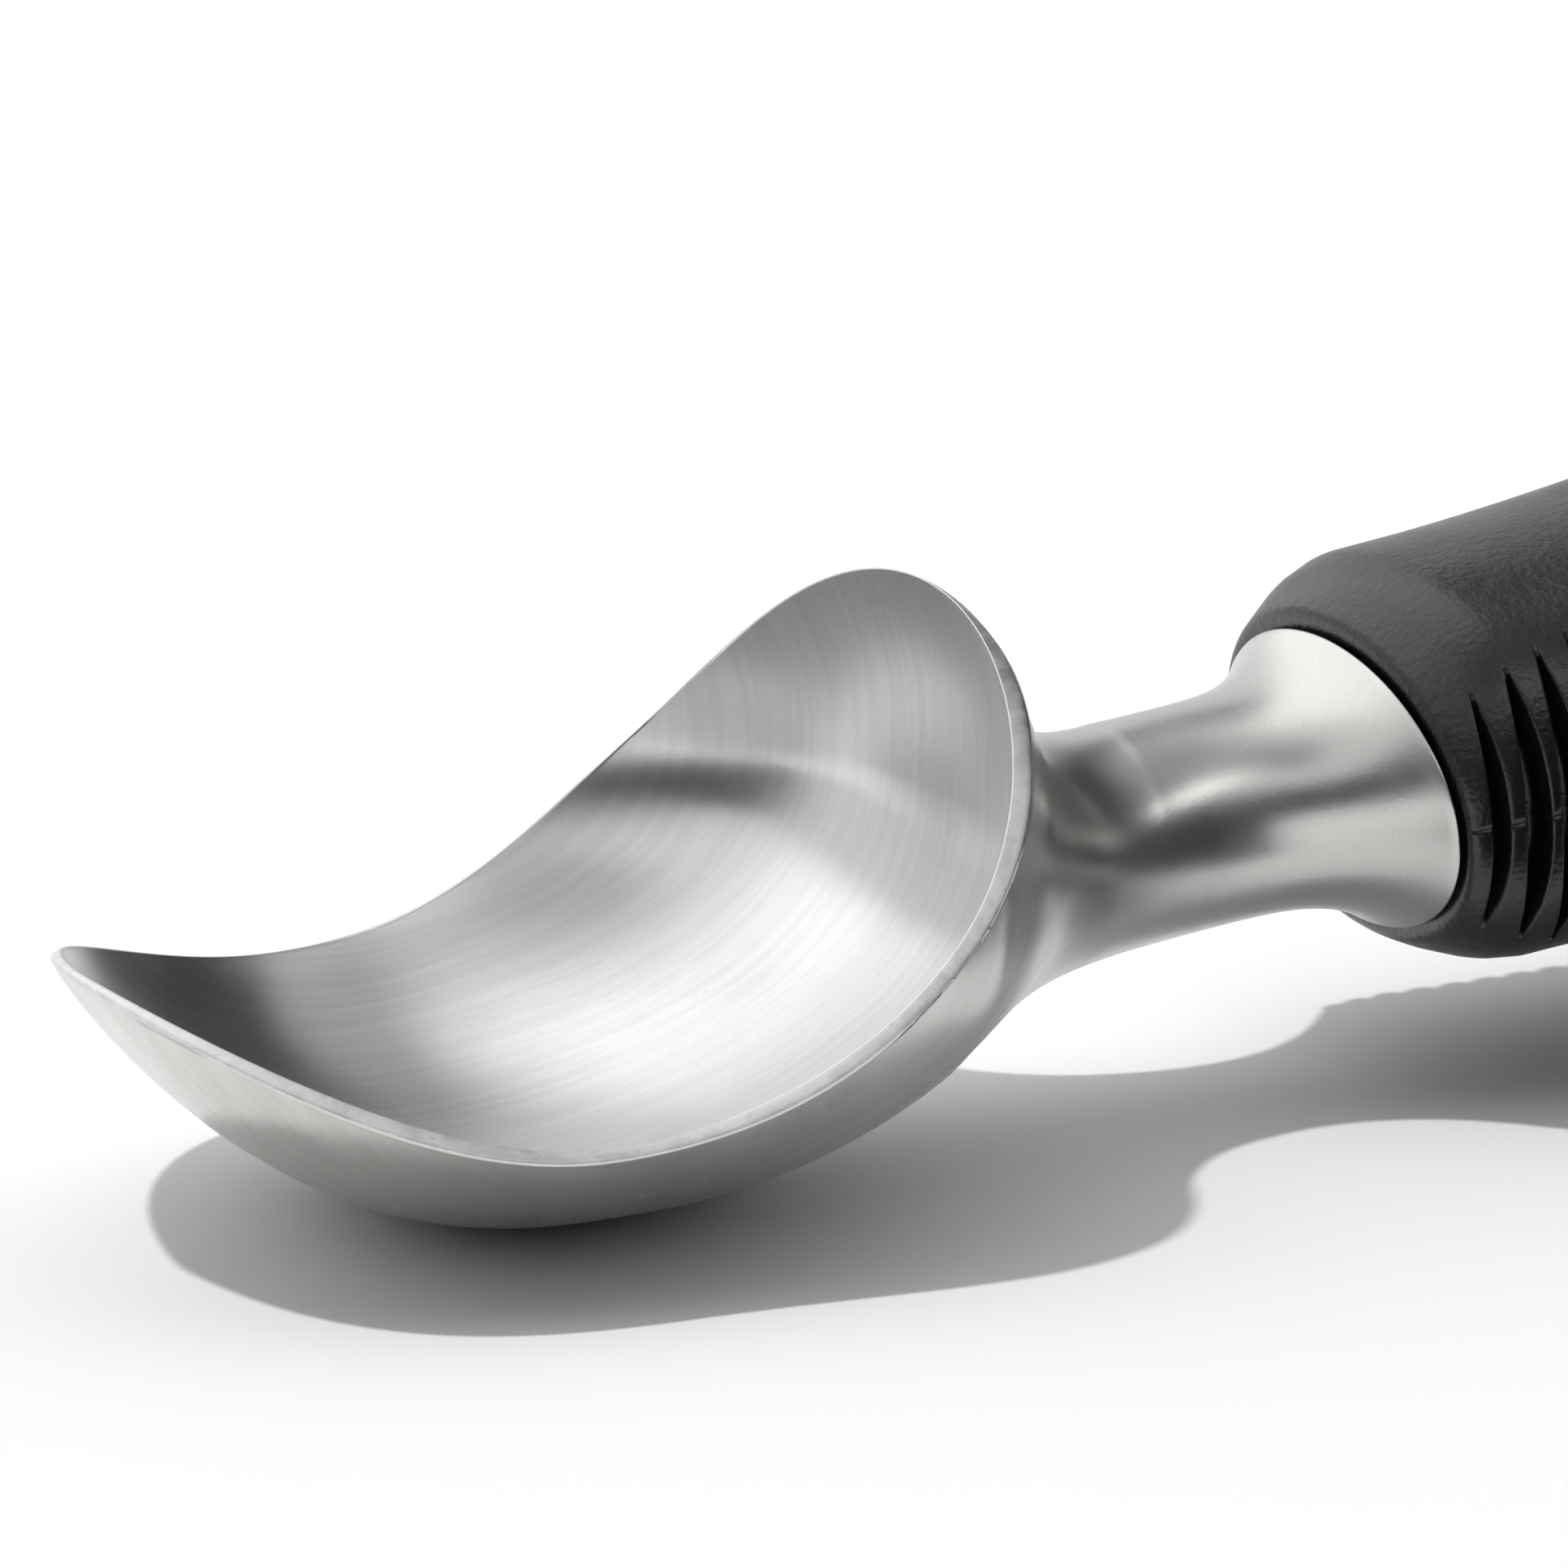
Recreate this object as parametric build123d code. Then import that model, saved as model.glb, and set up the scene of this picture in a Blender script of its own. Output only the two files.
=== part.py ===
"""Solid ice cream scoop: one-piece steel head, rigid handle core and soft moulded grip, in millimetres.

The scoop lies as it rests on a table: bowl open to +Z, tip at -X, handle running to +X, the keel of the
bowl and the heel of the grip both on Z = 0. The XZ plane is its plane of symmetry.
"""
import os
from math import atan2, cos, pi, radians, sin, sqrt, tan

from build123d import *

# Bowl outside, from the tip along X and up from the table
BOWL_LENGTH = 58.2
BOWL_MIDDLE = 25.0
BOWL_BACK_REACH = 13.7
BOWL_HALF_WIDTH = 29.2
BOWL_CENTRE_HEIGHT = 21.75
BOWL_CROWN = 22.6
TIP_HEIGHT = 18.6
TIP_BLUNT = 0.08
KEEL_LOW_START = 31.5
KEEL_LOW_END = 32.4
KEEL_BACK_RISE = 8.73
KEEL_FRONT_POWER = 2.63
KEEL_BACK_POWER = 2.19
KEEL_EASE = 1.2

# Rim: the inner edge's curve in the side view, and the fall of the ground land outside it
RIM_TIP_HEIGHT = 19.1
RIM_TIP_SLOPE = -0.52
RIM_LOW_X = 24.7
RIM_LOW_HEIGHT = 10.66
RIM_RISE_X = 45.3
RIM_RISE_HEIGHT = 18.14
RIM_RISE_SLOPE = 0.8
RIM_BACK_SLOPE = 2.65
RIM_FALL = 0.5
RIM_MIDDLE = 30.0
RIM_REACH = 6.0

# Cavity
SIDE_WALL = 0.73
TIP_WALL = 0.66
FLOOR_WALL = 1.8
FLOOR_KEEL_SHARE = 0.965
CAVITY_FRONT_POWER = 1.86
CAVITY_FRONT_ROOT = 1.91
CAVITY_BACK_REACH = 3.1
CAVITY_BACK_POWER = 2.1
CAVITY_SIDE_ROOT = 3.2
CAVITY_FLOOR_ROOT = 2.2
CAVITY_CROWN = 26.2

# Neck and flared shoulder
NECK_RADIUS = 7.3
NECK_BLEND_LEAD = 0.7
NECK_BLEND_LENGTH = 13.5
NECK_BLEND_POWER = 0.8
NECK_LENGTH = 18.7
NECK_SLOPE_DEG = 5.9
NECK_HEIGHT = 17.87
FLARE_TALL_LENGTH = 7.2
FLARE_TALL_POWER = 2.3
FLARE_WIDE_LENGTH = 11.2
FLARE_WIDE_POWER = 1.8
SEAM_LEAN_DEG = 10.0
SHOULDER_HALF_WIDTH = 14.7
SHOULDER_HALF_HEIGHT = 10.0

# Spigot and tang hidden in the handle
SPIGOT_INSET = 2.6
SPIGOT_LENGTH = 4.0
TANG_WIDTH = 11.0
TANG_THICKNESS = 7.0
TANG_LENGTH = 58.0
TANG_CORNER = 1.5
KEY_HOLE_RADIUS = 2.0
KEY_HOLE_FROM_END = 10.0

# Grip, measured along its curved centre line from the seam
GRIP_LENGTH = 118.0
GRIP_STRAIGHT = 24.0
GRIP_ARCH_RADIUS = 176.5
NOSE_LENGTH = 7.0
NOSE_PROUD = 0.6
SEAM_GAP = 0.35
FRONT_HALF_WIDTH = 16.4
FRONT_ABOVE = 13.75
FRONT_BELOW = 13.1
PALM_AT = 48.0
PALM_HALF_WIDTH = 18.2
PALM_ABOVE = 16.2
PALM_BELOW = 14.9
HEEL_AT = 102.0
HEEL_HALF_WIDTH = 16.6
HEEL_HALF_HEIGHT = 12.8
GRIP_FULLNESS = 0.68
GRIP_SKIN = 3.6
BOND_LINE = 0.2
HANG_HOLE_RADIUS = 5.0
HANG_HOLE_FROM_END = 15.0
HANG_HOLE_LINING = 2.5

# Fins moulded into both sides of the grip, left between leaf-shaped slots
SLOT_COUNT = 13
SLOT_PITCH = 2.6
SLOT_WIDTH = 1.65
SLOT_FIRST = 2.4
SLOT_FIRST_WIDTH = 1.0
SLOT_DEPTH = 2.4
SLOT_END_HALF_HEIGHT = 6.0
SLOT_MIDDLE_HALF_HEIGHT = 11.0

# Steps between the loft sections, the small flat that closes a rounded end, and the steps of a search
FRONT_SECTIONS = 8
BACK_SECTIONS = 8
NECK_SECTIONS = 6
RIM_SECTIONS = 8
GRIP_SECTIONS = 6
END_BLUNT = 0.1
HALVINGS = 40

# Length of a curve's handle, as a share of the radius, that makes a round quarter
ROUND = 0.5523

# Places along X that follow from the lengths above
BOWL_END = BOWL_LENGTH + BOWL_BACK_REACH
CAVITY_END = BOWL_LENGTH + CAVITY_BACK_REACH
NECK_BLEND_START = BOWL_LENGTH - NECK_BLEND_LEAD
NECK_START = NECK_BLEND_START + NECK_BLEND_LENGTH
SEAM_X = NECK_START + NECK_LENGTH
FLARE_TALL_START = SEAM_X - FLARE_TALL_LENGTH
FLARE_WIDE_START = SEAM_X - FLARE_WIDE_LENGTH


def plane_across(x, z, lean_deg):
    """Plane across the scoop at x and z, facing +X and leant up by lean_deg, with its own Y upwards."""
    lean = radians(lean_deg)
    return Plane((x, 0, z), x_dir=(0, 1, 0), z_dir=(cos(lean), 0, sin(lean)))


def oval(x, height, half_width, above, below, lean_deg=0.0, fullness=ROUND):
    """Section across the scoop: four quarters that meet at the given height, fuller than round if asked."""
    quarters = []
    for side, tall in ((1, above), (-1, above), (-1, -below), (1, -below)):
        wide = side * half_width
        ends = [(wide, 0), (wide, fullness * tall), (fullness * wide, tall), (0, tall)]
        quarters.append(Bezier(*ends if side * tall > 0 else reversed(ends)))
    return plane_across(x, height, lean_deg) * make_face(quarters)


def spread(first, last, count):
    """Even places from first to last, with count steps between them."""
    return [first + (last - first) * i / count for i in range(count + 1)]


def joined_lofts(section, *runs):
    """One solid lofted through the sections of each run of places; each run starts where the last ends."""
    lofts = [loft([section(place) for place in run]) for run in runs]
    return lofts[0].fuse(*lofts[1:])


def ease(share):
    """S-curve from 0 to 1, held at both ends."""
    held = min(1.0, max(0.0, share))
    return held * held * (3 - 2 * held)


def soft_ease(share):
    """S-curve from 0 to 1 with an even gentler start and end."""
    held = min(1.0, max(0.0, share))
    return held ** 3 * (10 - 15 * held + 6 * held * held)


def climb(x, start, end):
    """Height at x of the smooth curve between two points, each an x, a height and a slope."""
    run = end[0] - start[0]
    share = (x - start[0]) / run
    rise = end[1] - start[1]
    bend_in = start[2] * run - rise
    bend_out = rise - end[2] * run
    return start[1] + rise * share + share * (1 - share) * ((1 - share) * bend_in + share * bend_out)


def keel(x):
    """Height of the bowl's underside on the plane of symmetry."""
    if x < KEEL_LOW_START:
        return TIP_HEIGHT * ((KEEL_LOW_START - x) / KEEL_LOW_START) ** KEEL_FRONT_POWER
    if x > KEEL_LOW_END:
        return KEEL_BACK_RISE * ((x - KEEL_LOW_END) / (BOWL_LENGTH - KEEL_LOW_END)) ** KEEL_BACK_POWER
    return 0.0


def neck_axis(x):
    """Height of the neck's axis, which rises evenly towards the handle."""
    return NECK_HEIGHT + tan(radians(NECK_SLOPE_DEG)) * (x - NECK_START)


def underside(x):
    """The keel, and behind it the underside of the neck, with the corner between them eased."""
    if x < KEEL_LOW_END:
        return keel(x)
    corner = KEEL_EASE * ease((x - KEEL_LOW_END) / (BOWL_LENGTH - KEEL_LOW_END))
    neck = neck_axis(x) - NECK_RADIUS
    drop = neck - keel(x)
    return neck - (drop + sqrt(drop * drop + corner * corner)) / 2


def bowl_roundness(x):
    """Share of the bowl's full width left at x: a half ellipse to the tip and a longer one to the back."""
    reach = BOWL_MIDDLE if x < BOWL_MIDDLE else BOWL_END - BOWL_MIDDLE
    return sqrt(max(0.0, 1 - ((x - BOWL_MIDDLE) / reach) ** 2))


def flare(x, start, power):
    """Share of the shoulder's full size reached at x."""
    return max(0.0, (x - start) / (SEAM_X - start)) ** power


def head_outline(x):
    """Half-width, top, centre and bottom of the head at x, from the bowl through the neck to the flare."""
    past_bowl = max(0.0, (x - NECK_BLEND_START) / NECK_BLEND_LENGTH)
    bowl = 1 - soft_ease(past_bowl ** NECK_BLEND_POWER)
    widening = flare(x, FLARE_WIDE_START, FLARE_WIDE_POWER)
    neck_width = NECK_RADIUS + (SHOULDER_HALF_WIDTH - NECK_RADIUS) * widening
    swell = (SHOULDER_HALF_HEIGHT - NECK_RADIUS) * flare(x, FLARE_TALL_START, FLARE_TALL_POWER)
    axis = neck_axis(x)
    neck_top = axis + NECK_RADIUS + swell
    bowl_top = BOWL_CENTRE_HEIGHT + BOWL_CROWN * bowl_roundness(x)
    half_width = neck_width + (BOWL_HALF_WIDTH * bowl_roundness(x) - neck_width) * bowl
    top = neck_top + (bowl_top - neck_top) * bowl
    centre = axis + (BOWL_CENTRE_HEIGHT - axis) * bowl
    return half_width, top, centre, underside(x) - swell


def head_section(x):
    """Outer section of the head at x, leaning over along the neck to match the seam."""
    half_width, top, centre, bottom = head_outline(x)
    lean = SEAM_LEAN_DEG * ease((x - NECK_START) / (FLARE_TALL_START - NECK_START))
    return oval(x, centre, half_width, top - centre, centre - bottom, lean)


def head_form():
    """Bowl, neck and flared shoulder as one form, still closed over the bowl."""
    front = [TIP_BLUNT] + [BOWL_MIDDLE * (i / FRONT_SECTIONS) ** 2 for i in range(1, FRONT_SECTIONS + 1)]
    return joined_lofts(
        head_section,
        front,
        spread(BOWL_MIDDLE, NECK_BLEND_START, BACK_SECTIONS),
        spread(NECK_BLEND_START, NECK_START, BACK_SECTIONS),
        spread(NECK_START, FLARE_WIDE_START, NECK_SECTIONS),
        spread(FLARE_WIDE_START, SEAM_X, NECK_SECTIONS),
    )


def cavity_outline(x):
    """Half-width of the bowl's hollow at x, and its reach above and below the bowl's centre."""
    front_keel = FLOOR_KEEL_SHARE * keel(x) if x < KEEL_LOW_START else 0.0
    below = BOWL_CENTRE_HEIGHT - FLOOR_WALL - front_keel
    if x < BOWL_MIDDLE:
        left = 1 - ((BOWL_MIDDLE - x) / (BOWL_MIDDLE - TIP_WALL)) ** CAVITY_FRONT_POWER
        share = left ** (1 / CAVITY_FRONT_ROOT)
    else:
        left = 1 - ((x - BOWL_MIDDLE) / (CAVITY_END - BOWL_MIDDLE)) ** CAVITY_BACK_POWER
        share = left ** (1 / CAVITY_SIDE_ROOT)
        below *= left ** (1 / CAVITY_FLOOR_ROOT)
    return (BOWL_HALF_WIDTH - SIDE_WALL) * share, CAVITY_CROWN * share, below


def cavity_section(x):
    """Section of the bowl's hollow, which has a long front and a rounder back."""
    return oval(x, BOWL_CENTRE_HEIGHT, *cavity_outline(x))


def cavity():
    """The hollow of the bowl, which closes ahead of the neck."""
    run = BOWL_MIDDLE - TIP_WALL
    front = [TIP_WALL + TIP_BLUNT]
    front += [TIP_WALL + run * (i / FRONT_SECTIONS) ** 2 for i in range(1, FRONT_SECTIONS + 1)]
    back_run = CAVITY_END - BOWL_MIDDLE - END_BLUNT
    back = [BOWL_MIDDLE + back_run * sin(pi / 2 * i / BACK_SECTIONS) for i in range(BACK_SECTIONS + 1)]
    return joined_lofts(cavity_section, front, back)


def rim_height(x):
    """Height of the rim's inner edge at x: down from the tip to the low side, then up to the high back."""
    low = (RIM_LOW_X, RIM_LOW_HEIGHT, 0)
    rise = (RIM_RISE_X, RIM_RISE_HEIGHT, RIM_RISE_SLOPE)
    if x < RIM_LOW_X:
        return climb(x, (0, RIM_TIP_HEIGHT, RIM_TIP_SLOPE), low)
    if x < RIM_RISE_X:
        return climb(x, low, rise)
    back = BOWL_CENTRE_HEIGHT + cavity_outline(BOWL_LENGTH)[1]
    return climb(x, rise, (BOWL_LENGTH, back, RIM_BACK_SLOPE))


def rim_half_width(x):
    """Half-width of the hollow at the height of the rim's inner edge."""
    across, above, below = cavity_outline(x)
    rise = rim_height(x) - BOWL_CENTRE_HEIGHT
    share = rise / (above if rise > 0 else below)
    return across * sqrt(max(0.0, 1 - share * share))


def rim_point(turn_deg):
    """Distance from the bowl's middle and height of the rim's inner edge, turn_deg round from the tip."""
    turn = radians(min(turn_deg, 360 - turn_deg))
    ahead, behind = TIP_WALL, BOWL_LENGTH
    for _ in range(HALVINGS):
        x = (ahead + behind) / 2
        if atan2(rim_half_width(x), RIM_MIDDLE - x) < turn:
            ahead = x
        else:
            behind = x
    return sqrt((RIM_MIDDLE - x) ** 2 + rim_half_width(x) ** 2), rim_height(x)


def rim_section(turn_deg):
    """Section of the space above the ground rim, turn_deg round from the tip: it falls away outwards."""
    distance, height = rim_point(turn_deg)
    near, far, over = distance - RIM_REACH, distance + RIM_REACH, 3 * BOWL_CENTRE_HEIGHT
    drop = RIM_FALL * RIM_REACH
    outline = Polyline((near, height + drop), (far, height - drop), (far, over), (near, over), close=True)
    turn = radians(turn_deg)
    across = Plane((RIM_MIDDLE, 0, 0), x_dir=(-cos(turn), sin(turn), 0), z_dir=(sin(turn), cos(turn), 0))
    return across * make_face(outline)


def above_rim():
    """The ring of space above the rim, from inside the hollow to outside the bowl."""
    quarters = [spread(start, start + 90, RIM_SECTIONS) for start in (0, 90, 180, 270)]
    return joined_lofts(rim_section, *quarters)


def spigot(clearance=0.0, length=SPIGOT_LENGTH):
    """Short oval boss behind the shoulder, which the mouth of the grip fits round."""
    outline = Ellipse(
        SHOULDER_HALF_WIDTH - SPIGOT_INSET + clearance, SHOULDER_HALF_HEIGHT - SPIGOT_INSET + clearance)
    return extrude(seam_plane * outline, length)


def tang(clearance=0.0):
    """Flat bar that carries the neck's axis straight on into the handle."""
    outline = RectangleRounded(
        TANG_WIDTH + 2 * clearance, TANG_THICKNESS + 2 * clearance, TANG_CORNER + clearance)
    return extrude(tang_plane * outline, TANG_LENGTH + clearance)


def key_pin(radius):
    """Round bar through the tang near its end, where the handle core locks into it."""
    through = tang_plane.offset(TANG_LENGTH - KEY_HOLE_FROM_END) * Rot(X=90)
    return through * Cylinder(radius, TANG_THICKNESS + 4 * BOND_LINE)


def grip_place(along):
    """X, Z and slope in degrees of the grip's centre line: straight behind the seam, then arched down."""
    slope = radians(NECK_SLOPE_DEG)
    straight = min(along, GRIP_STRAIGHT)
    turn = slope - max(0.0, along - GRIP_STRAIGHT) / GRIP_ARCH_RADIUS
    x = SEAM_X + straight * cos(slope) + GRIP_ARCH_RADIUS * (sin(slope) - sin(turn))
    z = neck_axis(SEAM_X) + straight * sin(slope) + GRIP_ARCH_RADIUS * (cos(turn) - cos(slope))
    return x, z, turn * 180 / pi


def grip_size(along):
    """Half-width of the grip, its reach above and below the centre line, and how full its section is."""
    nose = 1 - (1 - min(1.0, along / NOSE_LENGTH)) ** 2
    palm = ease((along - NOSE_LENGTH) / (PALM_AT - NOSE_LENGTH))
    heel = ease((along - PALM_AT) / (HEEL_AT - PALM_AT))
    edge_height = SHOULDER_HALF_HEIGHT + NOSE_PROUD
    stages = (
        (SHOULDER_HALF_WIDTH + NOSE_PROUD, FRONT_HALF_WIDTH, PALM_HALF_WIDTH, HEEL_HALF_WIDTH),
        (edge_height, FRONT_ABOVE, PALM_ABOVE, HEEL_HALF_HEIGHT),
        (edge_height, FRONT_BELOW, PALM_BELOW, HEEL_HALF_HEIGHT),
    )
    sizes = []
    for size, *later in stages:
        for next_size, share in zip(later, (nose, palm, heel)):
            size += (next_size - size) * share
        sizes.append(size)
    return *sizes, ROUND + (GRIP_FULLNESS - ROUND) * nose


def grip_section(along, inset=0.0):
    """Section across the grip, set in by inset, that closes in a quarter round at the end."""
    x, z, slope = grip_place(along)
    lean = slope + (SEAM_LEAN_DEG - NECK_SLOPE_DEG) * (1 - ease(along / GRIP_STRAIGHT))
    *sizes, fullness = grip_size(along)
    end = max(0.0, along - HEEL_AT) / (GRIP_LENGTH - HEEL_AT - inset)
    closing = sqrt(1 - end * end)
    half_width, above, below = [(size - inset) * closing for size in sizes]
    return oval(x, z, half_width, above, below, lean, fullness)


def grip_form(inset=0.0, front=SEAM_GAP):
    """The grip's outside from front to its end, or the same form set in all round."""
    def section(along):
        return grip_section(along, inset)
    breaks = [front] + [place for place in (NOSE_LENGTH, PALM_AT, HEEL_AT) if place > front]
    runs = [spread(first, last, GRIP_SECTIONS) for first, last in zip(breaks, breaks[1:])]
    end_run = GRIP_LENGTH - HEEL_AT - inset - END_BLUNT
    end = [HEEL_AT + end_run * sin(pi / 2 * i / GRIP_SECTIONS) for i in range(GRIP_SECTIONS + 1)]
    return joined_lofts(section, *runs, end)


def hang_hole(radius):
    """Bar through the heel, square to the centre line, for the hanging hole and its lining."""
    x, z, slope = grip_place(GRIP_LENGTH - HANG_HOLE_FROM_END)
    return Pos(x, 0, z) * Rot(Y=-slope) * Cylinder(radius, 4 * HEEL_HALF_HEIGHT)


def slots():
    """Leaf-shaped slots right across the grip, pointed at top and bottom and taller in mid row."""
    leaves = []
    for i in range(SLOT_COUNT):
        x, z, slope = grip_place(SLOT_FIRST + SLOT_PITCH * i)
        rise = sqrt(1 - ((2 * i + 1) / SLOT_COUNT - 1) ** 2)
        tall = SLOT_END_HALF_HEIGHT + (SLOT_MIDDLE_HALF_HEIGHT - SLOT_END_HALF_HEIGHT) * rise
        half_width = (SLOT_WIDTH if i else SLOT_FIRST_WIDTH) / 2
        front = ThreePointArc((0, -tall), (-half_width, 0), (0, tall))
        back = ThreePointArc((0, tall), (half_width, 0), (0, -tall))
        along = (cos(radians(slope)), 0, sin(radians(slope)))
        side = Plane((x, 0, z), x_dir=along, z_dir=(0, -1, 0))
        leaves.append(extrude(side * make_face([front, back]), 2 * PALM_HALF_WIDTH, both=True))
    return leaves


def scoop_casting():
    """Bowl, neck, shoulder, spigot and tang, cast as one piece."""
    head = head_form() - cavity() - above_rim()
    return head + spigot() + (tang() - key_pin(KEY_HOLE_RADIUS))


def handle_core():
    """Rigid core moulded over the tang and through its key hole."""
    front = SPIGOT_LENGTH + 2 * BOND_LINE
    core = grip_form(GRIP_SKIN, front) - tang(BOND_LINE)
    core -= hang_hole(HANG_HOLE_RADIUS + HANG_HOLE_LINING)
    return core + key_pin(KEY_HOLE_RADIUS - BOND_LINE)


def soft_grip():
    """Soft outer grip with its mouth round the spigot, finned sides and a lined hanging hole."""
    under_slots = grip_form(SLOT_DEPTH)
    outside = grip_form() - [leaf - under_slots for leaf in slots()]
    room = grip_form(GRIP_SKIN - BOND_LINE, SPIGOT_LENGTH + BOND_LINE)
    room -= hang_hole(HANG_HOLE_RADIUS + HANG_HOLE_LINING - BOND_LINE)
    mouth = spigot(BOND_LINE, SPIGOT_LENGTH + GRIP_SKIN)
    return outside - room - mouth - hang_hole(HANG_HOLE_RADIUS)


seam_plane = plane_across(SEAM_X, neck_axis(SEAM_X), SEAM_LEAN_DEG)
tang_plane = plane_across(SEAM_X, neck_axis(SEAM_X), NECK_SLOPE_DEG)
pieces = {
    "scoop_casting": scoop_casting(),
    "handle_core": handle_core(),
    "soft_grip": soft_grip(),
}
boxes = [shape.bounding_box() for shape in pieces.values()]
middle = (min(box.min.X for box in boxes) + max(box.max.X for box in boxes)) / 2
to_frame = Pos(-middle, 0, -min(box.min.Z for box in boxes))
os.makedirs("parts", exist_ok=True)
for node, shape in pieces.items():
    export_step(to_frame * shape, f"parts/{node}.step")
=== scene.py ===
"""Looks of the ice cream scoop: bright steel head, finned soft grip, white table and studio light."""

import math

import bmesh
import bpy
import numpy as np
from mathutils import Matrix, Vector


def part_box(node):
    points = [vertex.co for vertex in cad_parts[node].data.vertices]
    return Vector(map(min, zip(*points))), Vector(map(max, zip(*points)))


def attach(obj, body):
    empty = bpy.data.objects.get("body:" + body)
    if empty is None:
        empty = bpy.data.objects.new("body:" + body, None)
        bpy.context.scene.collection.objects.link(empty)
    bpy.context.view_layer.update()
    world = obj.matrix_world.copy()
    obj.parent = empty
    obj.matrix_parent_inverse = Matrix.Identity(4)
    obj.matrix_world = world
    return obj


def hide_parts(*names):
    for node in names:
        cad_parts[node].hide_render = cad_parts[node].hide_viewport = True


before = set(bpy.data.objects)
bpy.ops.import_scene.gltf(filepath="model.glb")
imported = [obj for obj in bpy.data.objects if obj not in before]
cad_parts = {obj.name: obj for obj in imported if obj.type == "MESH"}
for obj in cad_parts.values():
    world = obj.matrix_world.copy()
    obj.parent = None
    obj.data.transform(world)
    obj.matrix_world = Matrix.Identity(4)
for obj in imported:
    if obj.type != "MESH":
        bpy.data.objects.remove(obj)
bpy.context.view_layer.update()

MM = 0.001
WELD = 0.0005

# Bowl outside, in millimetres from the tip along X and up from the table
BOWL_LENGTH = 58.2
BOWL_MIDDLE = 25.0
BOWL_BACK_REACH = 4.4
BOWL_BACK_POWER = 2.1
BOWL_BACK_ROOT = 3.2
BOWL_HALF_WIDTH = 29.2
BOWL_CENTRE_HEIGHT = 21.75
BOWL_CROWN = 25.3
TIP_HEIGHT = 18.6
TIP_BLUNT = 0.08
KEEL_LOW_START = 31.5
KEEL_LOW_END = 32.4
KEEL_BACK_RISE = 8.73
KEEL_FRONT_POWER = 2.63
KEEL_BACK_POWER = 2.19
KEEL_EASE = 2.0

# Rim: the inner edge's curve in the side view, and the fall of the ground land outside it
RIM_TIP_HEIGHT = 19.1
RIM_TIP_SLOPE = -0.52
RIM_LOW_X = 24.7
RIM_LOW_HEIGHT = 10.66
RIM_RISE_X = 45.3
RIM_RISE_HEIGHT = 18.14
RIM_RISE_SLOPE = 0.8
RIM_BACK_SLOPE = 2.65
RIM_FALL = 0.5
RIM_MIDDLE = 30.0
RIM_REACH = 6.0
RIM_OUTER_ROUND = 0.3
RIM_INNER_ROUND = 0.2
RIM_ROUND_STEPS = 3

# Cavity
SIDE_WALL = 0.73
TIP_WALL = 0.66
FLOOR_WALL = 1.8
FLOOR_KEEL_SHARE = 0.965
CAVITY_FRONT_POWER = 1.86
CAVITY_FRONT_ROOT = 1.91
CAVITY_BACK_REACH = 3.1
CAVITY_BACK_POWER = 2.1
CAVITY_SIDE_ROOT = 3.2
CAVITY_FLOOR_ROOT = 2.2
CAVITY_CROWN = 26.2

# Middle of the arcs that the brushing inside follows, seen from the side
BRUSH_X = 35.0
BRUSH_HEIGHT = 30.0

# Neck and flared shoulder
NECK_RADIUS = 7.3
NECK_BLEND_LEAD = 0.7
NECK_BLEND_LENGTH = 13.5
NECK_BLEND_POWER = 0.8
FUNNEL_LEAD = 0.5
FUNNEL_TALL_LENGTH = 13.0
FUNNEL_WIDE_LENGTH = 23.0
FUNNEL_POWER = 3.0
FILLET_FROM = 52.0
FILLET_TO = 72.0
FILLET_HELD_ROWS = 3
FILLET_PASSES = 45
NECK_LENGTH = 18.7
NECK_SLOPE_DEG = 5.9
NECK_HEIGHT = 17.87
FLARE_TALL_LENGTH = 9.5
FLARE_TALL_POWER = 3.0
FLARE_WIDE_LENGTH = 16.0
FLARE_WIDE_POWER = 2.7
SEAM_LEAN_DEG = 10.0
SHOULDER_HALF_WIDTH = 14.7
SHOULDER_HALF_HEIGHT = 10.0
SHOULDER_ROUND = 0.3

# Spigot and tang hidden in the handle
SPIGOT_INSET = 2.6
SPIGOT_LENGTH = 4.0
TANG_HALF_WIDTH = 5.5
TANG_HALF_THICKNESS = 3.5
TANG_LENGTH = 58.0

# Grip, measured along its curved centre line from the seam
GRIP_LENGTH = 118.0
GRIP_STRAIGHT = 24.0
GRIP_ARCH_RADIUS = 176.5
NOSE_LENGTH = 7.0
NOSE_PROUD = 0.6
SEAM_GAP = 0.35
MOUTH_ROUND = 0.2
LIP_ROUND = ((0.0, 0.7), (0.0, 0.45), (0.1, 0.18), (0.3, 0.04), (0.5, 0.0))
FRONT_HALF_WIDTH = 16.4
FRONT_ABOVE = 13.75
FRONT_BELOW = 13.1
PALM_AT = 48.0
PALM_HALF_WIDTH = 18.2
PALM_ABOVE = 16.2
PALM_BELOW = 14.9
HEEL_AT = 102.0
HEEL_HALF_WIDTH = 16.6
HEEL_HALF_HEIGHT = 12.8
GRIP_FULLNESS = 0.68
GRIP_SKIN = 3.6
BOND_LINE = 0.2
HANG_HOLE_RADIUS = 5.0
HANG_HOLE_FROM_END = 15.0
HANG_HOLE_LINING = 2.5
HANG_HOLE_ROUND = 1.0
LINING_SHORT = 0.9
CUTTER_WIDER = 1.0
CUTTER_PAST = 0.6
CUTTER_LID_PAST = 3.0
PARTING_DEPTH = 0.14
PARTING_HALF_TURN = 0.0035

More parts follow.
